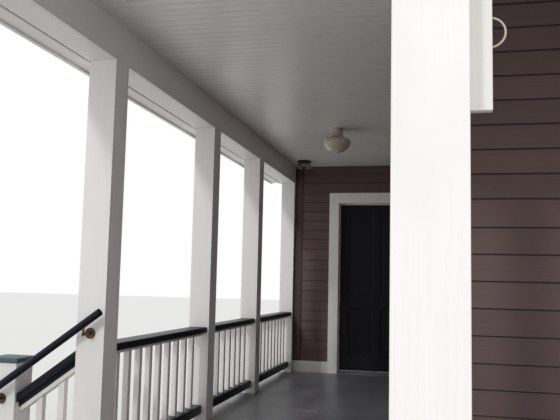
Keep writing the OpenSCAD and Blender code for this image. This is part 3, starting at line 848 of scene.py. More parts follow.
@dataclass
class LapSiding:
    """Lap siding on the house walls, on the strip above the roof and on the end gable.

    Attributes:
        plan: Planes of the porch.
        first_line: Height of the lowest shadow line above the deck.
        bands: Number and height of the courses over it, as the shadow lines of both walls give them. The
            widest course is the one where the upper part of the wall was begun.
        exposure: Height of a course above those bands.
        butt: Thickness of a board at its foot.
        tip: Thickness of a board at its head.
        soil_and_shade: Height of the strip under each lap that is darkened with painted shade.
        least_foot: Share of a course under which none is begun over the foot of a wall.
        least_head: The same share under the head of a wall.
        longest: Length of the longest board.
        cut: Shares of that length between which a board's length is drawn.
        joint: Gap between the ends of two boards.
        corner_w: Width of the plain upright boards at the corners.
        corner_t: Thickness of those boards.
    """

    plan: Plan
    first_line: float = 156 * MM
    bands: tuple[tuple[int, float], ...] = ((5, 118 * MM), (5, 126 * MM), (1, 135 * MM))
    exposure: float = 118 * MM
    butt: float = 12 * MM
    tip: float = MM
    soil_and_shade: float = 7 * MM
    least_foot: float = 0.2
    least_head: float = 0.1
    longest: float = 3.66
    cut: Span = (0.4, 0.95)
    joint: float = MM
    corner_w: float = 95 * MM
    corner_t: float = 20 * MM

    def build(self) -> None:
        """Clads every wall face that shows."""
        plan, edge = self.plan, self.corner_w
        low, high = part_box("door_casing")
        left, right = plan.post_in + edge, -self.butt
        under, beside = (plan.base_top, plan.ceiling), (plan.base_top, high.z)
        over = (plan.roof_top, plan.wall_top)
        self.wall("front_wall_siding", Run.X, 0.0, ((edge, plan.end_in - edge), under))
        self.wall("side_wall_siding", Run.Y, 0.0, ((edge, plan.door_wall), under))
        self.wall("door_wall_siding", Run.X, plan.door_wall, ((left, low.x), beside),
                  ((high.x, right), beside), ((left, right), (high.z, plan.ceiling)))
        self.wall("siding_over_front_roof", Run.X, 0.0, ((edge, plan.end_out), over))
        self.wall("siding_over_side_roof", Run.Y, 0.0, ((edge, plan.door_wall), over))
        self.roof_end()
        self.corner(over)
        self.gable()

    def wall(self, name: str, run: Run, face: float, *panels: tuple[Span, Span]) -> None:
        """Makes the piece that clads one wall face.

        Args:
            name: Name of the piece.
            run: The axis that the boards run along.
            face: Where the wall's face lies on the axis across the run.
            *panels: For each stretch of it, its start and end along the run, and its foot and head.
        """
        stock = Stock(name)
        for span, heights in panels:
            self.clad(stock, run, face, span, heights)
        stock.done(SIDING.along(run), "siding")

    def clad(self, stock: Stock, run: Run, face: float, span: Span, heights: Span, out: int = -1) -> None:
        """Covers a stretch of wall.

        Args:
            stock: The piece that gets the boards.
            run: The axis that the boards run along.
            face: Where the wall's face lies on the axis across the run.
            span: Start and end along the run.
            heights: Foot and head of the stretch.
            out: The way that the face looks along the axis across, 1 or -1.
        """
        for foot, head in self.lines(*heights):
            thin = self.tip + (self.butt - self.tip) * self.soil_and_shade / (head - foot)
            outline = [(face, foot), (face + out * self.butt, foot), (face + out * thin, head - self.soil_and_shade),
                       (face + out * self.tip, head), (face, head)]
            for start, end in self.lengths(stock, span):
                verts = stock.prism(outline, run, start + self.joint / 2, end - self.joint / 2)
                # The butt, which looks down, and the strip under the next lap are darkened with painted
                # shade.
                stock.soil_and_shade_tint({part for vert in verts for part in vert.link_faces
                            if min(v.co.z for v in part.verts) > head - self.soil_and_shade - NEAR
                            or max(v.co.z for v in part.verts) < foot + NEAR})

    def lines(self, low: float, high: float) -> list[Span]:
        """Divides a stretch of wall into courses.

        Args:
            low: Foot of the stretch.
            high: Its head.

        Returns:
            Foot and head of each course.
        """
        gauges = [gauge for count, gauge in self.bands for _ in range(count)]
        line = self.plan.deck + self.first_line
        edges = [low]
        while line < high - self.least_head * self.exposure:
            if line > low + self.least_foot * self.exposure:
                edges.append(line)
            line += gauges.pop(0) if gauges else self.exposure
        return list(zip(edges, edges[1:] + [high]))

    def lengths(self, stock: Stock, span: Span) -> list[Span]:
        """Divides a course into boards, so that the joints fall in different places in each.

        Args:
            stock: The piece that gets the boards.
            span: Start and end of the course.

        Returns:
            Start and end of each board.
        """
        start, end = span
        cuts = [start]
        while end - cuts[-1] > self.longest:
            cuts.append(cuts[-1] + self.longest * stock.random.uniform(*self.cut))
        return list(zip(cuts, cuts[1:] + [end]))

    def roof_end(self) -> None:
        """Clads the end of the side roof, where the door wall stands above it, cut to the roof's slope."""
        plan = self.plan
        heights = (plan.over_roof(plan.post_out), plan.wall_top)
        stock = Stock("siding_over_roof_end")
        self.clad(stock, Run.X, plan.door_wall, (plan.post_out, -self.butt), heights)
        stock.cut((0, 0, plan.roof_top), Vector((plan.slope, 0, -1)).normalized())
        stock.done(SIDING.along(Run.X), "siding")

    def corner(self, heights: Span) -> None:
        """Stands two plain boards at the house corner, above the roof.

        Args:
            heights: Foot and head of the boards.
        """
        foot, head = heights
        stock = Stock("corner_boards_over_roof")
        stock.board((-self.corner_t, -self.corner_t, foot), (self.corner_w, 0, head))
        stock.board((-self.corner_t, 0, foot), (0, self.corner_w, head))
        stock.done(SIDING_DARK.along(Run.Z), "siding")

    def gable(self) -> None:
        """Clads the triangle at the right end, over a flat backing."""
        plan = self.plan
        low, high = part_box("end_gable")
        face = high.x - self.butt
        stock = Stock("end_gable_siding")
        stock.board(low, (face, high.y, high.z), 0)
        self.clad(stock, Run.Y, face, (low.y, high.y), (low.z, high.z), 1)
        stock.cut((0, 0, plan.under_roof(0) - 0.2 * MM), Vector((0, -plan.slope, 1)).normalized())
        stock.done(SIDING.along(Run.Y), "siding", "end_gable")


@dataclass
class WallTrim:
    """Base boards, plain upright boards and the casing of the door.

    Attributes:
        ease: Width of the eased edges.
        gap: Gap between the head of the door leaf and the casing's head board.
        nail_r: Radius of a nail's head.
        nail_in: Distance of the nails from the edges.
        nail_up: Height of the lowest nail.
        nail_step: Distance from nail to nail.
    """

    ease: float = 2 * MM
    gap: float = 5 * MM
    nail_r: float = 2.5 * MM
    nail_in: float = 22 * MM
    nail_up: float = 0.12
    nail_step: float = 0.42

    def build(self) -> None:
        """Eases the edges of the trim, nails the casing and finishes the walls."""
        low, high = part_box("base_boards")
        scuffed = replace(TRIM.along(Run.X), name="scuffed_trim_paint_x", splash=(low.z, high.z))
        paint_node("base_boards", self.ease, scuffed, "white_trim")
        paint_node("wall_boards", self.ease, SIDING_DARK.along(Run.Z), "siding")
        self.casing()
        for wall in ("front_wall", "side_wall", "door_wall_left", "door_wall_right", "door_wall_head",
                     "door_wall_base"):
            dress_node(wall, WALL)

    def casing(self) -> None:
        """Two side boards under a head board that runs over both."""
        low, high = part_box("door_casing")
        left, right = (corner.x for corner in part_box("door_sill"))
        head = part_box("door_leaf")[1].z + self.gap
        stock = Stock("painted_door_casing")
        for start, end in ((low, (left, high.y, head)), ((right, low.y, low.z), (high.x, high.y, head)),
                           ((low.x, low.y, head), high)):
            stock.board(start, end, self.ease, 2)
        first = low.z + self.nail_up
        rows = [first + i * self.nail_step for i in range(int((head - first) / self.nail_step) + 1)]
        columns = (low.x + self.nail_in, left - self.nail_in, right + self.nail_in, high.x - self.nail_in)
        stock.nails([(x, low.y, z) for x in columns for z in rows], (0, -1, 0), self.nail_r)
        stock.done(TRIM.along(Run.Z), "white_trim", "door_casing")


@dataclass
class Doorway:
    """Frame, threshold, hinges, and the panelled leaf with its knobs.

    Attributes:
        plan: Planes of the porch.
        ease: Width of the eased edges of the frame and of the leaf.
        sill_ease: Width of the threshold's eased edges.
        ovolo: Width of the round moulding at the panels.
        field_in: Width of the sloped border of a raised panel.
        field_up: Height of a raised panel's field.
        screw_r: Radius of a screw head.
        screw_up: Height of a screw head above its plate.
        frame_screw: Distance of a screw from the left edge of a plate on the frame.
        leaf_screw: Distance of a screw from the right edge of a plate on the leaf.
        plate_in: Distance of the plates behind the front of the knuckles.
        knob: Profile of a rose and its knob, as radius and height in mm, up to the knob's dome.
        knob_up: Height of the knobs above the deck.
        dome: Radius and depth of the dome's flat middle.
    """

    plan: Plan
    ease: float = 1.5 * MM
    sill_ease: float = 2 * MM
    ovolo: float = 8 * MM
    field_in: float = 32 * MM
    field_up: float = 5 * MM
    screw_r: float = 3.5 * MM
    screw_up: float = 0.6 * MM
    frame_screw: float = 9 * MM
    leaf_screw: float = 11 * MM
    plate_in: float = 9.5 * MM
    knob: Profile = ((0, 0), (30, 0), (30, 2), (28, 4), (25, 4.5), (23, 7), (14, 9), (9, 13), (8.5, 27),
                     (12, 33), (20, 37), (25, 43), (27, 50), (25.5, 57), (20, 62))
    knob_up: float = 0.95
    dome: Span = (11 * MM, 0.6 * MM)

    def build(self) -> None:
        """Makes the pieces of the doorway."""
        paint_node("door_frame", self.ease, TRIM.along(Run.Z), "white_trim")
        paint_node("door_sill", self.sill_ease, FLOOR.along(Run.X), "deck_paint")
        self.leaf()
        self.hinges("hinge_knuckles_on_frame", "frame_hinges", PORCH)
        self.hinges("hinge_knuckles_on_leaf", "leaf_fittings", DOOR)
        self.knobs()

    def leaf(self) -> None:
        """The leaf: stiles and rails with an ovolo round each sunk panel, and a raised field in it."""
        low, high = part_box("door_leaf")
        stock = Stock("panelled_door_leaf", "door_leaf")
        mesh = stock.mesh
        rims = []
        for edge in mesh.edges:
            a, b = (vert.co for vert in edge.verts)
            on_face = any(abs(a.y - y) < NEAR and abs(b.y - y) < NEAR for y in (low.y, high.y))
            inside = all(low.x + MM < p.x < high.x - MM and low.z + MM < p.z < high.z - MM for p in (a, b))
            if on_face and inside:
                rims.append(edge)
        floors = [face for face in mesh.faces if abs(face.normal.y) > 0.9
                  and low.y + MM < face.calc_center_median().y < high.y - MM]
        stock.ease(rims, self.ovolo, 4)
        made = []
        for border in (self.field_in, MM):
            made += bmesh.ops.inset_individual(mesh, faces=floors, thickness=border, depth=0.0)["faces"]
        for face in floors:
            lift = Vector((0, self.field_up if face.normal.y > 0 else -self.field_up, 0))
            bmesh.ops.translate(mesh, verts=list(face.verts), vec=lift)
        for face in made:
            face[stock.tone] = 0.0
        outer = [edge for edge in mesh.edges if edge.is_manifold and edge.calc_face_angle(0) > 1.0
                 and all(vert.co.x < low.x + MM or vert.co.x > high.x - MM for vert in edge.verts)]
        stock.ease(outer, self.ease)
        stock.done(DOOR_PAINT.along(Run.Z), "door_paint", "door_leaf", body=DOOR, smooth=28)

    def hinges(self, name: str, node: str, body: str) -> None:
        """The knuckles and plates of the hinges, with a screw head on each plate.

        Args:
            name: Name of the piece.
            node: The construction node that holds the knuckles.
            body: The body that they ride on.
        """
        # The node on the leaf also holds the knobs, which lie further right or stand out further.
        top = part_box("frame_hinges")[1].y
        stock = Stock(name, node, lambda box: box[1].x < self.plan.post_in / 2 and box[1].y < top + MM)
        for low, high in [box_of(shell) for shell in patches(stock.mesh)]:
            x = low.x + self.frame_screw if body == PORCH else high.x - self.leaf_screw
            plate = Vector((x, high.y - self.plate_in, (low.z + high.z) / 2))
            stock.rod(plate - Vector((0, MM, 0)), plate + Vector((0, self.screw_up, 0)), self.screw_r, 12)
        nodes = [node] if body == PORCH else []
        stock.done(HINGE, "brass", *nodes, body=body, smooth=30)

    def knobs(self) -> None:
        """Turned knobs on beaded roses, on both faces of the leaf."""
        corner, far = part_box("leaf_fittings")
        low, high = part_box("door_leaf")
        reach = low.y - corner.y
        flat, depth = self.dome
        profile = metres(self.knob) + [(flat, reach - depth), (0.0, reach)]
        rose = max(radius for radius, _ in profile)
        stock = Stock("turned_door_knobs")
        for y, turn in ((low.y, 90), (high.y, -90)):
            seat = Matrix.Translation((far.x - rose, y, self.plan.deck + self.knob_up))
            stock.turning(profile, seat @ Matrix.Rotation(math.radians(turn), 4, "X"))
        stock.done(BRASS, "brass", "leaf_fittings", body=DOOR, smooth=35)


@dataclass
class Floor:
    """Floor boards of both wings and the boards that close the space under them.

    Attributes:
        board_w: Width of a tongued floor board.
        groove: Width of the eased edge on each side of a joint.
        ease: Width of the eased edges of rim and skirt boards.
        longest: Length of the longest rim board.
        rim_h: Height of the rim boards.
        skirt_w: Width of an upright skirt board.
        skirt_t: Thickness of a skirt board.
        skirt_gap: Gap between skirt boards.
        skirt_in: Distance of the skirt boards behind the rim boards' faces.
        least: Width under which a last skirt board is left out.
    """

    board_w: float = 83 * MM
    groove: float = 1.8 * MM
    ease: float = 2 * MM
    longest: float = 3.6
    rim_h: float = 235 * MM
    skirt_w: float = 89 * MM
    skirt_t: float = 22 * MM
    skirt_gap: float = 4 * MM
    skirt_in: float = 9 * MM
    least: float = 20 * MM

    def build(self) -> None:
        """Lays the boards, across in the left wing and out from the wall in the front wing."""
        for wing in WINGS:
            node, run = f"{wing.side}_deck", wing.across
            width, (start, end), (foot, head) = run.spans(node)
            stock = Stock(f"{wing.title}_wing_floor_boards")
            for left, right in self.strips(*width):
                stock.board(run.point(left, foot, start), run.point(right, head, end), self.groove)
            stock.done(FLOOR.along(run), "deck_paint", node)
        for node, run in (("front_skirt", Run.X), ("side_skirt", Run.Y), ("end_skirt", Run.Y)):
            self.skirt(node, run)

    def strips(self, start: float, end: float) -> list[Span]:
        """Divides a width into floor boards, with the last one ripped to fit.

        Args:
            start: Where the first board starts.
            end: Where the last one ends.

        Returns:
            Start and end of each board.
        """
        count = math.ceil((end - start) / self.board_w)
        edges = [start + i * self.board_w for i in range(count)] + [end]
        return list(zip(edges, edges[1:]))

    def skirt(self, node: str, run: Run) -> None:
        """A rim board with upright boards under it, set back behind its face.

        Args:
            node: The construction node of that side.
            run: The axis that the side runs along.
        """
        (near, far), (start, end), (foot, head) = run.spans(node)
        rim_foot = head - self.rim_h
        rim, skirt = Stock(f"{node}_rim_board"), Stock(f"{node}_boards")
        count = math.ceil((end - start) / self.longest)
        edges = [start + (end - start) * i / count for i in range(count + 1)]
        for a, b in zip(edges, edges[1:]):
            rim.board(run.point(near, rim_foot, a), run.point(far, head, b), self.ease)
        # The right end looks the other way, so its skirt is set back from its higher side.
        back = far - self.skirt_in - self.skirt_t if node == "end_skirt" else near + self.skirt_in
        at = start
        while at < end - self.least:
            stop = min(at + self.skirt_w, end)
            skirt.board(run.point(back, foot, at), run.point(back + self.skirt_t, rim_foot, stop), self.ease)
            at = stop + self.skirt_gap
        rim.done(FOOT_TRIM.along(run), "white_trim")
        skirt.done(FOOT_TRIM.along(Run.Z), "white_trim", node)


@dataclass
class BoxedTimber:
    """Posts, half posts and beams that are boxed from planed boards.

    Attributes:
        plan: Planes of the porch.
        board_t: Thickness of the boards.
        ease: Width of their eased edges.
        shy: Distance that a board between two others stays behind their edges.
        lap: Height of a beam's inner board above the ceiling's face.
        groove_w: Width of the groove under a beam.
        groove_d: Depth of that groove.
        nail_in: Distance of the nails from a post's edge.
        nail_step: Distance from nail to nail.
        nail_end: Distance of the last nails from the ends of a post, as a share of that step.
    """

    plan: Plan
    board_t: float = 19 * MM
    ease: float = 1.6 * MM
    shy: float = 0.2 * MM
    lap: float = 20 * MM
    groove_w: float = 15 * MM
    groove_d: float = 18 * MM
    nail_in: float = 11 * MM
    nail_step: float = 0.32
    nail_end: float = 0.6

    def build(self) -> None:
        """Boxes every post and beam."""
        for name, node, finish in (("boxed_front_posts", "front_posts", TRIM),
                                   ("boxed_side_posts", "side_posts", TRIM),
                                   ("boxed_wall_posts", "wall_posts", TRIM),
                                   ("boxed_newels", "stair_newels", FOOT_TRIM)):
            stock = Stock(name)
            for low, high in solids(node):
                self.post(stock, low, high)
            stock.done(finish.along(Run.Z), "white_trim", node)
        plan = self.plan
        for wing, end in zip(WINGS, (plan.door_wall, plan.end_out)):
            stock = Stock(f"boxed_{wing.side}_beam")
            self.beam(stock, wing.run, plan.beam_out, end)
            stock.cut((0, 0, 0), wing.far)
            stock.done(TRIM.along(wing.run), "white_trim", f"{wing.side}_beam")
        self.end_beam()

    def post(self, stock: Stock, low: Vector, high: Vector) -> None:
        """Four boards round a post: two full ones in front and behind, and two between them.

        Args:
            stock: The piece that gets the boards.
            low: Lowest corner of the post.
            high: Highest corner.
        """
        t, shy = self.board_t, self.shy
        for start, end in ((low, (high.x, low.y + t, high.z)),
                           ((low.x, high.y - t, low.z), high),
                           ((low.x + shy, low.y + t, low.z), (low.x + t, high.y - t, high.z)),
                           ((high.x - t, low.y + t, low.z), (high.x - shy, high.y - t, high.z))):
            stock.board(start, end, self.ease, 2)
        count = int((high.z - low.z) / self.nail_step)
        step = (high.z - low.z) / (count - 1 + 2 * self.nail_end)
        rows = [low.z + (i + self.nail_end) * step for i in range(count)]
        columns = (low.x + self.nail_in, high.x - self.nail_in)
        for y, out in ((low.y, -1), (high.y, 1)):
            stock.nails([(x, y, z) for x in columns for z in rows], (0, out, 0))

    def beam(self, stock: Stock, run: Run, start: float, end: float) -> None:
        """Adds one beam: two sides, the foot with its groove, and the board that closes the end.

        Args:
            stock: The piece that gets the boards.
            run: The axis that the beam runs along.
            start: Where the beam starts.
            end: Where it ends.
        """
        plan, t = self.plan, self.board_t
        outer, inner, foot, back = plan.beam_out, plan.post_in, plan.beam_foot, end - t
        groove, lid = outer + t + self.groove_w, foot + self.groove_d
        # Both corners of each board, as across, up and along, the width of its eased edges and their faces.
        for low, high, ease, steps in (
                ((inner - t, foot, start), (inner, plan.ceiling + self.lap, back), self.ease, 2),
                ((outer, foot, start), (outer + t, plan.beam_top - MM, end), self.ease, 2),
                ((groove, foot + self.shy, start), (inner - t, foot + t, back), self.ease, 1),
                ((outer + t, lid, start), (groove + t, lid + t, back), 0, 1)):
            stock.board(run.point(*low), run.point(*high), ease, steps)
        stock.prism([(outer + t, lid), (groove, lid), (groove, foot), (inner, foot),
                     (inner, plan.under_roof(inner) - MM), (outer + t, plan.under_roof(outer + t) - MM)],
                    run, back, end)

    def end_beam(self) -> None:
        """Boxes the beam over the right end: two sides, and a foot between them."""
        low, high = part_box("end_beam")
        t = self.board_t
        stock = Stock("boxed_end_beam")
        for start, end in ((low, (low.x + t, high.y, high.z)),
                           ((high.x - t, low.y, low.z), high),
                           ((low.x + t, low.y, low.z + self.shy), (high.x - t, high.y, low.z + t))):
            stock.board(start, end, self.ease)
        stock.done(TRIM.along(Run.Y), "white_trim", "end_beam")


@dataclass
class BeadedCeiling:
    """Tongued and beaded boards of the ceilings.

    Attributes:
        board_w: Width of a board. The photo shows one groove each 76 mm.
        groove_w: Half the width of the groove between two boards.
        groove_d: Depth of that groove.
        bead_w: Width of the bead beside it.
        quirk: Depth of the small groove on the bead's other side, as a share of the first one.
    """

    board_w: float = 76 * MM
    groove_w: float = 2.6 * MM
    groove_d: float = 4 * MM
    bead_w: float = 7 * MM
    quirk: float = 0.6

    def build(self) -> None:
        """Lays the boards across the left wing, and out from the wall in the front wing."""
        for wing in WINGS:
            node, run = f"{wing.side}_ceiling", wing.across
            stock = Stock(f"{wing.title}_wing_ceiling_boards")
            self.lay(stock, run, *run.spans(node))
            stock.done(CEILING.along(run), "ceiling_paint", node)

    def lay(self, stock: Stock, run: Run, width: Span, span: Span, heights: Span) -> None:
        """Fills a ceiling with boards.

        Args:
            stock: The piece that gets the boards.
            run: The axis that the boards run along.
            width: Start and end across the boards.
            span: Start and end along them.
            heights: Lower and upper face.
        """
        foot, head = heights
        left, right = width
        g, d = self.groove_w, self.groove_d
        for i in range(math.ceil((right - left) / self.board_w)):
            a = left + i * self.board_w
            b = min(a + self.board_w, right)
            bead = b - g - self.bead_w
            outline = [(a, head), (a, foot + d), (a + g, foot), (bead - 2 * g, foot),
                       (bead - g, foot + d * self.quirk), (bead, foot), (b - g, foot), (b, foot + d),
                       (b, head)]
            stock.prism(outline, run, *span)
        # The sloped faces are the sides of the grooves and of the beads. The paint darkens them, so the
        # grooves show as darker lines.
        for face in stock.mesh.faces:
            face.normal_update()
        stock.soil_and_shade_tint(face for face in stock.mesh.faces if 0.2 < abs(face.normal.z) < 0.97)


@dataclass
class Roof:
    """Low hipped roof: decking, shingles in courses, hip caps, flashing and the eaves under them.

    Attributes:
        plan: Planes of the porch.
        ease: Width of the eaves' eased edges.
        deck_ease: Width of the decking's eased edges.
        exposure: Height of a shingle course along the slope.
        tab_w: Width of a shingle tab.
        slot: Width of the slot between two tabs.
        stray: How far a course may lie to either side of its place.
        least: Width under which a cut tab is left out.
        butt: Thickness at the foot of a tab.
        tip: Thickness where the next course covers it.
        underlay: Thickness of the dark felt that shows in the slots.
        cap_w: Width of one wing of a hip cap.
        cap_l: Length of a hip cap, which the next one covers by a third.
        cap_t: Thickness of a hip cap.
        cap_up: Height of the hip caps above the hip.
        cap_in: Distance of the lowest cap from the corner of the eaves.
        cap_tilt: Angle in degrees at which a cap lies on the one below it.
        flash_t: Thickness of the flashing.
        flash_h: Height of the flashing up the walls.
        flash_w: Width of the flashing down the slope.
        flash_in: Distance of the flashing's upright leg from the wall, where the siding's boards end.
        drip_w: Width of the drip edge up the slope.
        drip_sunk: Depth of the drip edge's upper face under the shingles' outer plane.
        drip_up: Height of the drip edge's foot above the foot of the eaves.
        drip_kick: How far the drip edge's foot stands in from its top.
    """

    plan: Plan
    ease: float = 1.6 * MM
    deck_ease: float = 1.5 * MM
    exposure: float = 127 * MM
    tab_w: float = 305 * MM
    slot: float = 7 * MM
    stray: float = 12 * MM
    least: float = 10 * MM
    butt: float = 6.5 * MM
    tip: float = 1.5 * MM
    underlay: float = 1.5 * MM
    cap_w: float = 125 * MM
    cap_l: float = 190.5 * MM
    cap_t: float = 3 * MM
    cap_up: float = 4 * MM
    cap_in: float = 2 * MM
    cap_tilt: float = 1.6
    flash_t: float = 1.2 * MM
    flash_h: float = 75 * MM
    flash_w: float = 90 * MM
    flash_in: float = 14 * MM
    drip_w: float = 80 * MM
    drip_sunk: float = 6 * MM
    drip_up: float = 60 * MM
    drip_kick: float = 3 * MM

    def build(self) -> None:
        """Makes both slopes, the hip, the flashing and the eaves."""
        ends = (self.plan.door_wall, self.plan.verge)
        for wing, end in zip(WINGS, ends):
            self.slope(wing, (self.plan.roof_out, end))
        self.hip()
        for wing, end in zip(WINGS, ends):
            self.flashing(wing, end)
        for wing in WINGS:
            paint_node(f"{wing.side}_eave", self.ease, TRIM.along(wing.run), "white_trim")

    def slope(self, wing: Wing, span: Span) -> None:
        """Decking and shingles of one slope, cut at the hip.

        Args:
            wing: The wing that the slope covers.
            span: Start and end of the slope.
        """
        plan, node, out = self.plan, f"{wing.side}_roof", self.plan.roof_out
        top = plan.roof_top - (self.butt + MM) / math.cos(math.atan(plan.slope))
        deck_top = top - self.underlay
        decking = Stock(f"{node}_decking")
        decking.prism([(out, plan.roof_foot), (0, plan.under_roof(0)), (0, deck_top),
                       (out, deck_top + out * plan.slope)], wing.run, *span)
        decking.cut((0, 0, 0), wing.far)
        decking.ease_corners(self.deck_ease)
        decking.done(TRIM.along(wing.run), "white_trim", node)
        shingles = Stock(f"{node}_shingles")
        shingles.prism([(out, deck_top + out * plan.slope), (0, deck_top), (0, top),
                        (out, top + out * plan.slope)], wing.run, *span)
        self.courses(shingles, wing.run, span, top)
        shingles.cut((0, 0, 0), wing.far)
        shingles.done(SHINGLE, "shingles")

    def courses(self, stock: Stock, run: Run, span: Span, top: float) -> None:
        """Lays the tabs from the eaves up, each course half a tab aside from the last.

        Args:
            stock: The piece that gets the tabs.
            run: The axis that the courses run along.
            span: Start and end of the slope.
            top: Height of the underlay's upper side at the wall.
        """
        pitch = math.atan(self.plan.slope)
        along = Vector((math.cos(pitch), math.sin(pitch)))
        normal = Vector((-math.sin(pitch), math.cos(pitch)))
        eaves = self.plan.roof_out + self.butt * math.sin(pitch)
        foot = Vector((eaves, top + eaves * self.plan.slope))
        length = -eaves / math.cos(pitch)
        for course in range(math.ceil(length / self.exposure)):
            start = course * self.exposure
            end = min(start + self.exposure, length)
            section = [foot + along * start, foot + along * start + normal * self.butt,
                       foot + along * end + normal * self.tip, foot + along * end]
            shift = (course % 2) * self.tab_w / 2 + stock.random.uniform(-self.stray, self.stray)
            at = span[0] - self.tab_w + shift
            while at < span[1]:
                a, b = max(at, span[0]), min(at + self.tab_w - self.slot, span[1])
                if b - a > self.least:
                    stock.prism(section, run, a, b)
                at += self.tab_w

    def hip(self) -> None:
        """Caps over the hip, each one overlapping the one below."""
        plan = self.plan
        pitch = math.atan(plan.slope)
        rise = Vector((1, 1, plan.slope)).normalized()
        up = Vector((0, -math.sin(pitch), math.cos(pitch)))
        down = rise.cross(up).normalized()
        start = Vector((plan.roof_out, plan.roof_out, plan.over_roof(plan.roof_out)))
        length = (Vector((0, 0, plan.roof_top)) - start).length
        lie = Matrix((rise, down, up)).transposed().to_4x4()
        lie @= Matrix.Rotation(math.radians(self.cap_tilt), 4, "Y")
        swap = Matrix(((0, 1, 0, 0), (1, 0, 0, 0), (0, 0, 1, 0), (0, 0, 0, 1)))
        stock = Stock("hip_cap_shingles")
        for i in range(int(length / self.exposure)):
            at = start + rise * (i * self.exposure + self.cap_in) + up * self.cap_up
            for side in (Matrix.Identity(4), swap):
                verts = stock.board((0, 0, 0), (self.cap_l, self.cap_w, self.cap_t), 0)
                bmesh.ops.transform(stock.mesh, matrix=side @ Matrix.Translation(at) @ lie, verts=verts)
        for across in (Vector((1, 0, 0)), Vector((0, 1, 0))):
            stock.cut((0, 0, 0), across)
            stock.cut(across * plan.roof_out, -across)
        stock.done(SHINGLE, "shingles")

    def flashing(self, wing: Wing, end: float) -> None:
        """Bent sheet where a slope meets the wall, and a drip edge along its eaves.

        Args:
            wing: The wing that the slope covers.
            end: Where the slope ends.
        """
        plan, t = self.plan, self.flash_t
        wall, lip = -self.flash_in, plan.roof_out
        top, low = plan.over_roof(wall), wall - self.flash_w
        bend = [(wall, top), (low, plan.over_roof(low)), (low, plan.over_roof(low) + t),
                (wall - t, top + t), (wall - t, top + self.flash_h), (wall, top + self.flash_h)]
        inner, under = lip + self.drip_w, plan.roof_foot + self.drip_up
        high, back = (plan.over_roof(place) - self.drip_sunk for place in (lip, inner))
        drip = [(lip, high), (inner, back), (inner, back - MM), (lip + t, high - MM), (lip + t, under),
                (lip + self.drip_kick, under)]
        stock = Stock(f"{wing.side}_roof_flashing")
        for outline, start in ((bend, wall), (drip, lip)):
            stock.prism(outline, wing.run, start, end)
        stock.cut((0, 0, 0), wing.far)
        stock.done(FLASHING, "lamp_metal")


@dataclass
class Railing:
    """Dark caps and bottom rails with white sub-rails and square balusters between them.

    Attributes:
        cap_round: Radius of the cap's rounded upper edges.
        cap_ease: Width of its eased lower edges.
        rail_ease: Width of the bottom rail's eased edges.
        baluster_ease: Width of the balusters' eased edges.
    """

    cap_round: float = 9 * MM
    cap_ease: float = 2 * MM
    rail_ease: float = 4 * MM
    baluster_ease: float = 2.2 * MM

    def build(self) -> None:
        """Makes the railings of the three open sides."""
        for side, run in (("front", Run.X), ("side", Run.Y), ("end", Run.Y)):
            self.rails(f"{side}_rails", run)
            self.balusters(f"{side}_balusters", run)

    def rails(self, node: str, run: Run) -> None:
        """Caps with rounded edges, and bottom rails.

        Args:
            node: The construction node that holds them.
            run: The axis that they run along.
        """
        stock = Stock(f"enamelled_{node}")
        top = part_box(node)[1].z
        for low, high in solids(node):
            if high.z > top - MM:
                edges = {edge for edge in edges_of(stock.board(low, high, 0))
                         if abs(edge.verts[0].co[run.value] - edge.verts[1].co[run.value]) > MM}
                upper = {edge for edge in edges if edge.verts[0].co.z > top - MM}
                stock.ease(upper, self.cap_round, 4)
                stock.ease(edges - upper, self.cap_ease, 2)
            else:
                stock.board(low, high, self.rail_ease, 2)
        stock.done(RAIL.along(run), "dark_rail", node, smooth=40)

    def balusters(self, node: str, run: Run) -> None:
        """Sub-rails with their balusters, whose places are read from the construction model.

        Args:
            node: The construction node that holds them.
            run: The axis that the sub-rails run along.
        """
        stock = Stock(f"painted_{node}")
        axis = run.value
        mesh = merged(node)
        for shell in patches(mesh):
            low, high = box_of(shell)
            feet = sorted({round(vert.co[axis], 5) for vert in shell if vert.co.z < low.z + MM})
            rail_foot = max(vert.co.z for vert in shell if vert.co.z < high.z - MM)
            stock.board((low.x, low.y, rail_foot), high, self.baluster_ease)
            half = (feet[1] - feet[0]) / 2
            middle = (low[1 - axis] + high[1 - axis]) / 2
            for start, end in zip(feet[::2], feet[1::2]):
                stock.board(run.point(middle - half, low.z, start), run.point(middle + half, rail_foot, end),
                            self.baluster_ease)
        mesh.free()
        stock.done(TRIM.along(Run.Z), "white_trim", node)


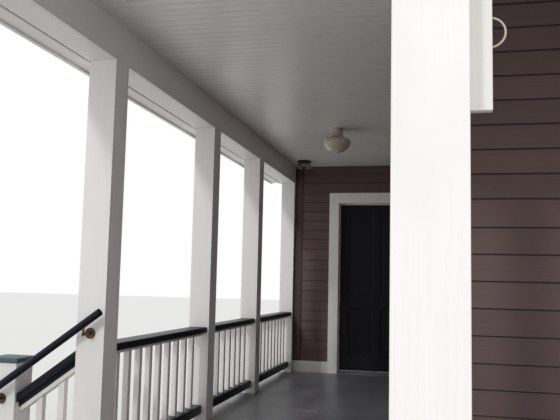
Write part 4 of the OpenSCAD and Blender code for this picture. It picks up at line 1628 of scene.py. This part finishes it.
@dataclass
class Stair:
    """Treads, stringers with risers, newel caps, sloped guards and round handrails.

    Attributes:
        nose: Radius of the treads' rounded front edges.
        tread_ease: Width of the eased edges of a tread's back board.
        joint: Gap between the two boards of a tread.
        frame_ease: Width of the eased edges of stringers and risers.
        cap_ease: Width of the newel caps' rounded edges.
        baluster_ease: Width of the balusters' eased edges.
        guard_ease: Width of the guards' rounded edges.
        handrail_l: Length over which a solid of the stair's rails is a handrail. The others are guards.
        handrail_r: Radius of the handrails.
        chamfer: Width of the chamfer at their ends.
        core: Radius of the turned disc in a handrail's end, as a share of the handrail's.
        plate_r: Radius of a bracket's wall plate.
        plate_t: Thickness of that plate.
        plate_ease: Width of its rounded rim.
        arm_r: Radius of a bracket's arm.
        arm_up: Height of a handrail above the arm.
        ball_r: Radius of the ball at the arm's bend.
        screw_r: Radius of a screw's head at the plate, and at its top.
        screw_in: Distance of the screws from the plate's middle, as a share of its radius.
        screw_sunk: Depth from which a screw's head starts under the plate's face.
        screw_up: Height of a screw's head from there.
    """

    nose: float = 13 * MM
    tread_ease: float = 2 * MM
    joint: float = 2 * MM
    frame_ease: float = 1.5 * MM
    cap_ease: float = 5 * MM
    baluster_ease: float = 1.8 * MM
    guard_ease: float = 6 * MM
    handrail_l: float = 0.6
    handrail_r: float = 20.5 * MM
    chamfer: float = 2 * MM
    core: float = 0.62
    plate_r: float = 30 * MM
    plate_t: float = 6 * MM
    plate_ease: float = 2.5 * MM
    arm_r: float = 7 * MM
    arm_up: float = 55 * MM
    ball_r: float = 10 * MM
    screw_r: Span = (3.4 * MM, 2.4 * MM)
    screw_in: float = 0.62
    screw_sunk: float = 0.5 * MM
    screw_up: float = 1.5 * MM

    def build(self) -> None:
        """Makes the pieces of the stair."""
        self.treads()
        paint_node("stair_frame", self.frame_ease, FOOT_TRIM.along(Run.Y), "white_trim")
        caps = Stock("painted_newel_caps")
        for low, high in solids("newel_caps"):
            caps.board(low, high, self.cap_ease, 3)
        caps.done(CAP.along(Run.Y), "cap_paint", "newel_caps", smooth=40)
        paint_node("stair_balusters", self.baluster_ease, FOOT_TRIM.along(Run.Z), "white_trim")
        guards = Stock("enamelled_stair_guards", "stair_rails", lambda box: not self.is_handrail(box))
        guards.ease_corners(self.guard_ease, 2)
        guards.done(RAIL.along(Run.X), "dark_rail", "stair_rails", smooth=40)
        self.handrails()

    def treads(self) -> None:
        """Each tread is two boards, the front one with a rounded nosing."""
        stock = Stock("painted_treads")
        for low, high in solids("stair_treads"):
            middle = (low.x + high.x) / 2
            front = stock.board(low, (middle - self.joint / 2, high.y, high.z), 0)
            stock.ease({edge for edge in edges_of(front) if all(v.co.x < low.x + MM for v in edge.verts)
                        and abs(edge.verts[0].co.y - edge.verts[1].co.y) > MM}, self.nose, 4)
            stock.board((middle + self.joint / 2, low.y, low.z), high, self.tread_ease)
        stock.done(FLOOR.along(Run.Y), "deck_paint", "stair_treads", smooth=40)

    def handrails(self) -> None:
        """Round handrails, each on two brackets: one at the porch post and one at the newel."""
        steps = solids("stair_treads")
        slope = (steps[1][1].z - steps[0][1].z) / (steps[1][0].x - steps[0][0].x)
        centre = (steps[0][0].y + steps[0][1].y) / 2
        rails, brackets = Stock("enamelled_handrails"), Stock("handrail_brackets")
        r, lean = self.handrail_r, math.atan(slope)
        way = Vector((math.cos(lean), 0, math.sin(lean)))
        ends = []
        for low, high in (box for box in solids("stair_rails") if self.is_handrail(box)):
            # The box of a handrail starts at the wall plates on one side and ends at the rail on the other.
            middle, face = (high.y - r, low.y) if high.y < centre else (low.y + r, high.y)
            top = Vector((high.x - (r - self.chamfer) * math.sin(lean), middle,
                          high.z - r * math.cos(lean) + self.chamfer * math.sin(lean)))
            foot = top - way * ((top.x - low.x) / way.x - (r - self.chamfer) * math.tan(lean))
            rails.rod(foot, top, r, 32)
            ends += [(foot, -way), (top, way)]
            for post in (solids("side_posts")[0], solids("stair_newels")[0]):
                x = (post[0].x + post[1].x) / 2
                height = top.z - (top.x - x) * slope
                self.bracket(brackets, Vector((x, face, height - self.arm_up)), middle, height)
        rails.ease_corners(self.chamfer, 1, 60)
        for end, out in ends:
            rails.rod(end - out * MM, end + out * MM, r * self.core, 32)
        rails.done(RAIL.along(Run.X), "dark_rail", smooth=35)
        brackets.done(BRONZE, "brass", smooth=35)

    def bracket(self, stock: Stock, seat: Vector, middle: float, height: float) -> None:
        """A round plate, an arm with a ball at its bend, and the stem that carries the handrail.

        Args:
            stock: The piece that gets the bracket.
            seat: Where the arm leaves the post.
            middle: Middle of the handrail, on Y.
            height: Height of its middle over the arm.
        """
        out = Vector((0, math.copysign(1, middle - seat.y), 0))
        bend = Vector((seat.x, middle, seat.z))
        plate = stock.rod(seat, seat + out * self.plate_t, self.plate_r, 32)
        stock.ease({edge for edge in edges_of(plate) if all(abs(v.co.y - seat.y) > MM for v in edge.verts)},
                   self.plate_ease, 3)
        stock.rod(seat, bend, self.arm_r, 20)
        stock.rod(bend, (bend.x, bend.y, height - self.handrail_r / 2), self.arm_r, 20)
        bmesh.ops.create_uvsphere(stock.mesh, u_segments=24, v_segments=12, radius=self.ball_r,
                                  matrix=Matrix.Translation(bend))
        foot, tip = self.screw_r
        for x, z in ((-1, 0), (1, 0), (0, -1)):
            screw = seat + Vector((x, 0, z)) * self.screw_in * self.plate_r
            screw += out * (self.plate_t - self.screw_sunk)
            stock.rod(screw, screw + out * self.screw_up, foot, 12, tip)

    def is_handrail(self, box: Box) -> bool:
        """True for a handrail's box, which reaches past both the post and the newel."""
        return box[1].x - box[0].x > self.handrail_l


@dataclass
class CeilingLamp:
    """Ribbed globe of milky glass under a round enamelled canopy.

    Attributes:
        canopy: Profile of the canopy, the dark neck and the holder of the glass, as radius and height in mm.
        bowl: Profile of the glass, as shares of its radius and of its height: a wide low shoulder, a bowl
            under it and a small point below.
        ribs: Number of ribs round the globe.
        rib_depth: Height of a rib as a share of the radius.
        rib_in: Share of the radius within which the ribs run out, where they are too close to be pressed.
        glass_t: Thickness of the glass.
    """

    canopy: Profile = ((0, 0), (64, 0), (64, -4), (61, -8), (57, -11), (56, -58), (59, -61), (59, -65),
                       (57, -67), (49, -67), (47, -76), (0, -76))
    bowl: Profile = ((0.37, 0.0), (0.44, 0.015), (0.66, 0.07), (0.88, 0.16), (0.98, 0.27), (0.985, 0.35),
                     (0.95, 0.46), (0.88, 0.58), (0.78, 0.70), (0.64, 0.80), (0.46, 0.875), (0.26, 0.925),
                     (0.12, 0.95), (0.085, 0.965), (0.075, 0.985), (0.0, 1.0))
    ribs: int = 28
    rib_depth: float = 0.03
    rib_in: float = 1 / 1.4
    glass_t: float = 3 * MM

    def build(self) -> None:
        """Turns the canopy, the holder and the globe."""
        low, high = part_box("ceiling_lamp")
        middle = Matrix.Translation(((low.x + high.x) / 2, (low.y + high.y) / 2, high.z))
        profile = metres(self.canopy)
        canopy = Stock("lamp_canopy")
        canopy.turning(profile, middle, 64)
        canopy.done(LAMP_ENAMEL, "lamp_metal", smooth=35)
        self.globe(middle, (high.x - low.x) / 2, (profile[-1][1], low.z - high.z))

    def globe(self, middle: Matrix, radius: float, heights: Span) -> None:
        """Blows the glass into its ribs and gives it its thickness.

        Args:
            middle: Place of the lamp's seat on the ceiling.
            radius: Greatest radius.
            heights: Heights of its upper rim and of its lowest point from the seat, both negative.
        """
        top, foot = heights
        curve = self.smooth_curve([(a * radius, top + b * (foot - top)) for a, b in self.bowl])
        stock = Stock("ribbed_lamp_globe")
        for vert in stock.turning(curve, Matrix.Identity(4), self.ribs * 6):
            flat = Vector((vert.co.x, vert.co.y))
            if flat.length > 1e-6:
                depth = self.rib_depth * min(1.0, flat.length / radius / self.rib_in)
                wave = 0.5 + 0.5 * math.cos(self.ribs * math.atan2(flat.y, flat.x))
                vert.co.xy = flat * (1 - depth * (1 - wave))
        bmesh.ops.recalc_face_normals(stock.mesh, faces=stock.mesh.faces[:])
        bmesh.ops.solidify(stock.mesh, geom=stock.mesh.faces[:], thickness=self.glass_t)
        bmesh.ops.transform(stock.mesh, matrix=middle, verts=stock.mesh.verts[:])
        stock.done(GLOBE_GLASS, "lamp_glass", "ceiling_lamp", smooth=60)

    @staticmethod
    def smooth_curve(points: Sequence[Point], steps: int = 4) -> list[Point]:
        """Draws a smooth curve through the points of a profile.

        Args:
            points: Points as radius and height.
            steps: Points on each stretch of the curve.

        Returns:
            The points of the curve.
        """
        line = [Vector(point) for point in (points[0], *points, points[-1])]
        curve = []
        for a, b, c, d in zip(line, line[1:], line[2:], line[3:]):
            for t in (step / steps for step in range(steps)):
                curve.append(0.5 * (2 * b + (c - a) * t + (2 * a - 5 * b + 4 * c - d) * t ** 2
                                    + (3 * b - a - 3 * c + d) * t ** 3))
        return [(max(0.0, radius), height) for radius, height in (*curve, line[-1])]


@dataclass
class Spotlight:
    """Two small spotlight heads on one round base at the ceiling.

    Attributes:
        base: Profile of the base, as radius and height in mm.
        head: Profile of a neck and its head, as radius and distance from the base in mm.
        lens: Profile of the lens in the head's mouth.
        spread: Distance of the heads from the middle of the base.
        tilt: Tilt of the heads from straight down, in degrees.
    """

    base: Profile = ((0, 0), (84, 0), (84, -11), (81.48, -17.6), (75.6, -22), (0, -22))
    head: Profile = ((0, -4), (9, -4), (9, 8), (14, 9), (22, 12), (27, 15), (29, 20), (32, 50), (36, 52),
                     (37, 55), (37, 69), (36, 70), (34, 70), (33, 64), (0, 64))
    lens: Profile = ((0, 63.5), (33.4, 63.5), (33, 66), (22.2, 68.4), (0, 69.5))
    spread: float = 42 * MM
    tilt: float = 12.0

    def build(self) -> None:
        """Turns the base, the necks, the housings and the lenses."""
        low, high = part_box("spotlight")
        seat = Vector(((low.x + high.x) / 2, (low.y + high.y) / 2, high.z))
        base, heads, lenses = Stock("spotlight_base"), Stock("spotlight_heads"), Stock("spotlight_lenses")
        base.turning(metres(self.base), Matrix.Translation(seat))
        foot = self.base[-1][1] * MM
        for side in (-1, 1):
            turn = Matrix.Rotation(math.radians(180 - side * self.tilt), 4, "Y")
            place = Matrix.Translation(seat + Vector((side * self.spread, 0, foot))) @ turn
            heads.turning(metres(self.head), place, 40)
            lenses.turning(metres(self.lens), place, 40)
        base.done(SPOT_BASE, "lamp_metal", "spotlight", smooth=35)
        heads.done(SPOT_HEAD, "lamp_metal", smooth=35)
        lenses.done(LENS_GLASS, "lamp_glass", smooth=35)


@dataclass
class BackBoard:
    """Plain board behind the big post, and a ring that hangs from its edge.

    Attributes:
        ease: Width of the board's rounded edges.
        nails: Heights of the nails above the foot of the board.
        nail_in: Distance of the nails from the board's right edge.
        ring_r: Radius of the ring, to the middle of its bar.
        bar_r: Radius of the bar.
        drop: Height of the ring's middle above the foot of the board.
        ring_in: Distance of the ring's middle from the board's right edge.
        ring_back: Distance of the ring behind the board.
        eye_r: Radius of the screw eye that holds the ring.
        eye: Where the eye starts and ends from the ring's bar, on Y.
    """

    ease: float = 1.6 * MM
    nails: tuple[float, ...] = (0.08, 0.38, 0.68, 0.98)
    nail_in: float = 14 * MM
    ring_r: float = 36 * MM
    bar_r: float = 2.6 * MM
    drop: float = 195 * MM
    ring_in: float = 4 * MM
    ring_back: float = 6 * MM
    eye_r: float = 2.4 * MM
    eye: Span = (-8 * MM, 4 * MM)

    def build(self) -> None:
        """Makes the board, the ring and the screw eye that holds it."""
        low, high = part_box("back_board")
        board = Stock("painted_back_board", "back_board")
        board.ease_corners(self.ease, 2)
        board.nails([(high.x - self.nail_in, low.y, low.z + up) for up in self.nails], (0, -1, 0))
        board.done(TRIM.along(Run.Z), "white_trim", "back_board")
        middle = Vector((high.x - self.ring_in, high.y + self.ring_back, low.z + self.drop))
        ring = Stock("hanging_ring")
        circle = [(self.ring_r + self.bar_r * math.cos(a), self.bar_r * math.sin(a))
                  for a in (2 * math.pi * i / 12 for i in range(13))]
        ring.turning(circle, Matrix.Translation(middle) @ Matrix.Rotation(math.radians(90), 4, "X"), 64)
        start, end = (middle + Vector((-self.ring_r, reach, 0)) for reach in self.eye)
        ring.rod(start, end, self.eye_r, 12)
        ring.done(RING.along(Run.Z), "white_trim", smooth=50)


@dataclass
class Studio:
    """Camera, floor and light.

    Attributes:
        eye: Place of the camera.
        focal: Focal length in pixels of a photo 560 pixels wide.
        width: Width of that photo in pixels.
        yaw: Turn of the camera to the left of +Y, in degrees.
        pitch: Tilt of the camera above the horizon.
        roll: Turn of the camera about its own axis.
        floor_r: Distance that the floor reaches to each side.
        floor_down: Depth of the floor below the ground line, so that it touches no face.
        sky_light: Strength of the sky as a light. Where it is seen, its strength is 1, which is white.
        lamps: Name, way, strength and angle in degrees of each soft distant light.
    """

    eye: Point = (0.0, -3.46, 1.685)
    focal: float = 710.0
    width: float = 560.0
    yaw: float = 12.85
    pitch: float = 5.74
    roll: float = 1.26
    floor_r: float = 60.0
    floor_down: float = 0.5 * MM
    sky_light: float = 0.9
    lamps: tuple[tuple[str, Point, float, float], ...] = (
        ("key_light", (0.20, 0.90, -0.36), 0.65, 5.0), ("fill_light", (-0.66, 0.74, -0.12), 0.25, 30.0))

    def build(self) -> None:
        """Sets up the camera, the floor, the sky and the lamps."""
        self.camera()
        self.floor()
        self.sky()
        for lamp in self.lamps:
            self.lamp(*lamp)
        bpy.context.scene.view_settings.view_transform = "Standard"

    def camera(self) -> None:
        """Puts the camera where the photo was taken."""
        # A camera that isn't turned looks straight down, so the pitch is added to a right angle.
        place = Matrix.Translation(self.eye)
        for angle, axis in ((self.yaw, "Z"), (90 + self.pitch, "X"), (self.roll, "Z")):
            place @= Matrix.Rotation(math.radians(angle), 4, axis)
        data = bpy.data.cameras.new("photo_camera")
        data.sensor_width = 36.0
        data.lens = data.sensor_width * self.focal / self.width
        data.clip_end = 200.0
        camera = bpy.data.objects.new("photo_camera", data)
        bpy.context.scene.collection.objects.link(camera)
        camera.matrix_world = place
        bpy.context.scene.camera = camera

    def floor(self) -> None:
        """A plain pale floor that keeps the shadow of the porch."""
        mesh = bmesh.new()
        bmesh.ops.create_grid(mesh, x_segments=1, y_segments=1, size=self.floor_r,
                              matrix=Matrix.Translation((0, 0, -self.floor_down)))
        data = bpy.data.meshes.new("pale_floor")
        mesh.to_mesh(data)
        mesh.free()
        material = bpy.data.materials.new("plain_pale_floor")
        material.use_nodes = True
        shader = material.node_tree.nodes["Principled BSDF"]
        shader.inputs["Base Color"].default_value = linear("#e8e8e6")
        shader.inputs["Roughness"].default_value = 0.9
        data.materials.append(material)
        floor = bpy.data.objects.new("pale_floor", data)
        bpy.context.scene.collection.objects.link(floor)

    def sky(self) -> None:
        """White where the camera, a mirror or glass sees it, and an even grey as a light."""
        world = bpy.data.worlds.new("studio")
        bpy.context.scene.world = world
        world.use_nodes = True
        tree = world.node_tree
        tree.nodes.clear()
        path = add_node(tree, "LightPath").outputs
        seen = path["Is Camera Ray"]
        for ray in ("Is Glossy Ray", "Is Transmission Ray"):
            seen = add_node(tree, "Math", {0: seen, 1: path[ray]}, operation="MAXIMUM")
        strength = add_node(tree, "MapRange", {0: seen, 3: self.sky_light, 4: 1.0})
        back = add_node(tree, "Background", {"Color": (1.0, 1.0, 1.0, 1.0), "Strength": strength})
        add_node(tree, "OutputWorld", {"Surface": back})

    @staticmethod
    def lamp(name: str, way: Point, strength: float, angle: float) -> None:
        """Adds a soft distant light.

        Args:
            name: Name of the light.
            way: The way that its light travels.
            strength: Its strength.
            angle: How wide it looks, in degrees.
        """
        data = bpy.data.lights.new(name, "SUN")
        data.energy = strength
        data.angle = math.radians(angle)
        light = bpy.data.objects.new(name, data)
        light.rotation_euler = Vector(way).to_track_quat("-Z", "Y").to_euler()
        bpy.context.scene.collection.objects.link(light)


def main() -> None:
    """Builds every part of the porch, then the studio round it."""
    logging.basicConfig(level=logging.INFO, format="%(name)s: %(message)s")
    plan = Plan.read()
    for part in (LapSiding(plan), WallTrim(), Doorway(plan), Floor(), BoxedTimber(plan), BeadedCeiling(),
                 Roof(plan), Railing(), Stair(), CeilingLamp(), Spotlight(), BackBoard(), Studio()):
        part.build()


if __name__ == "__main__":
    main()
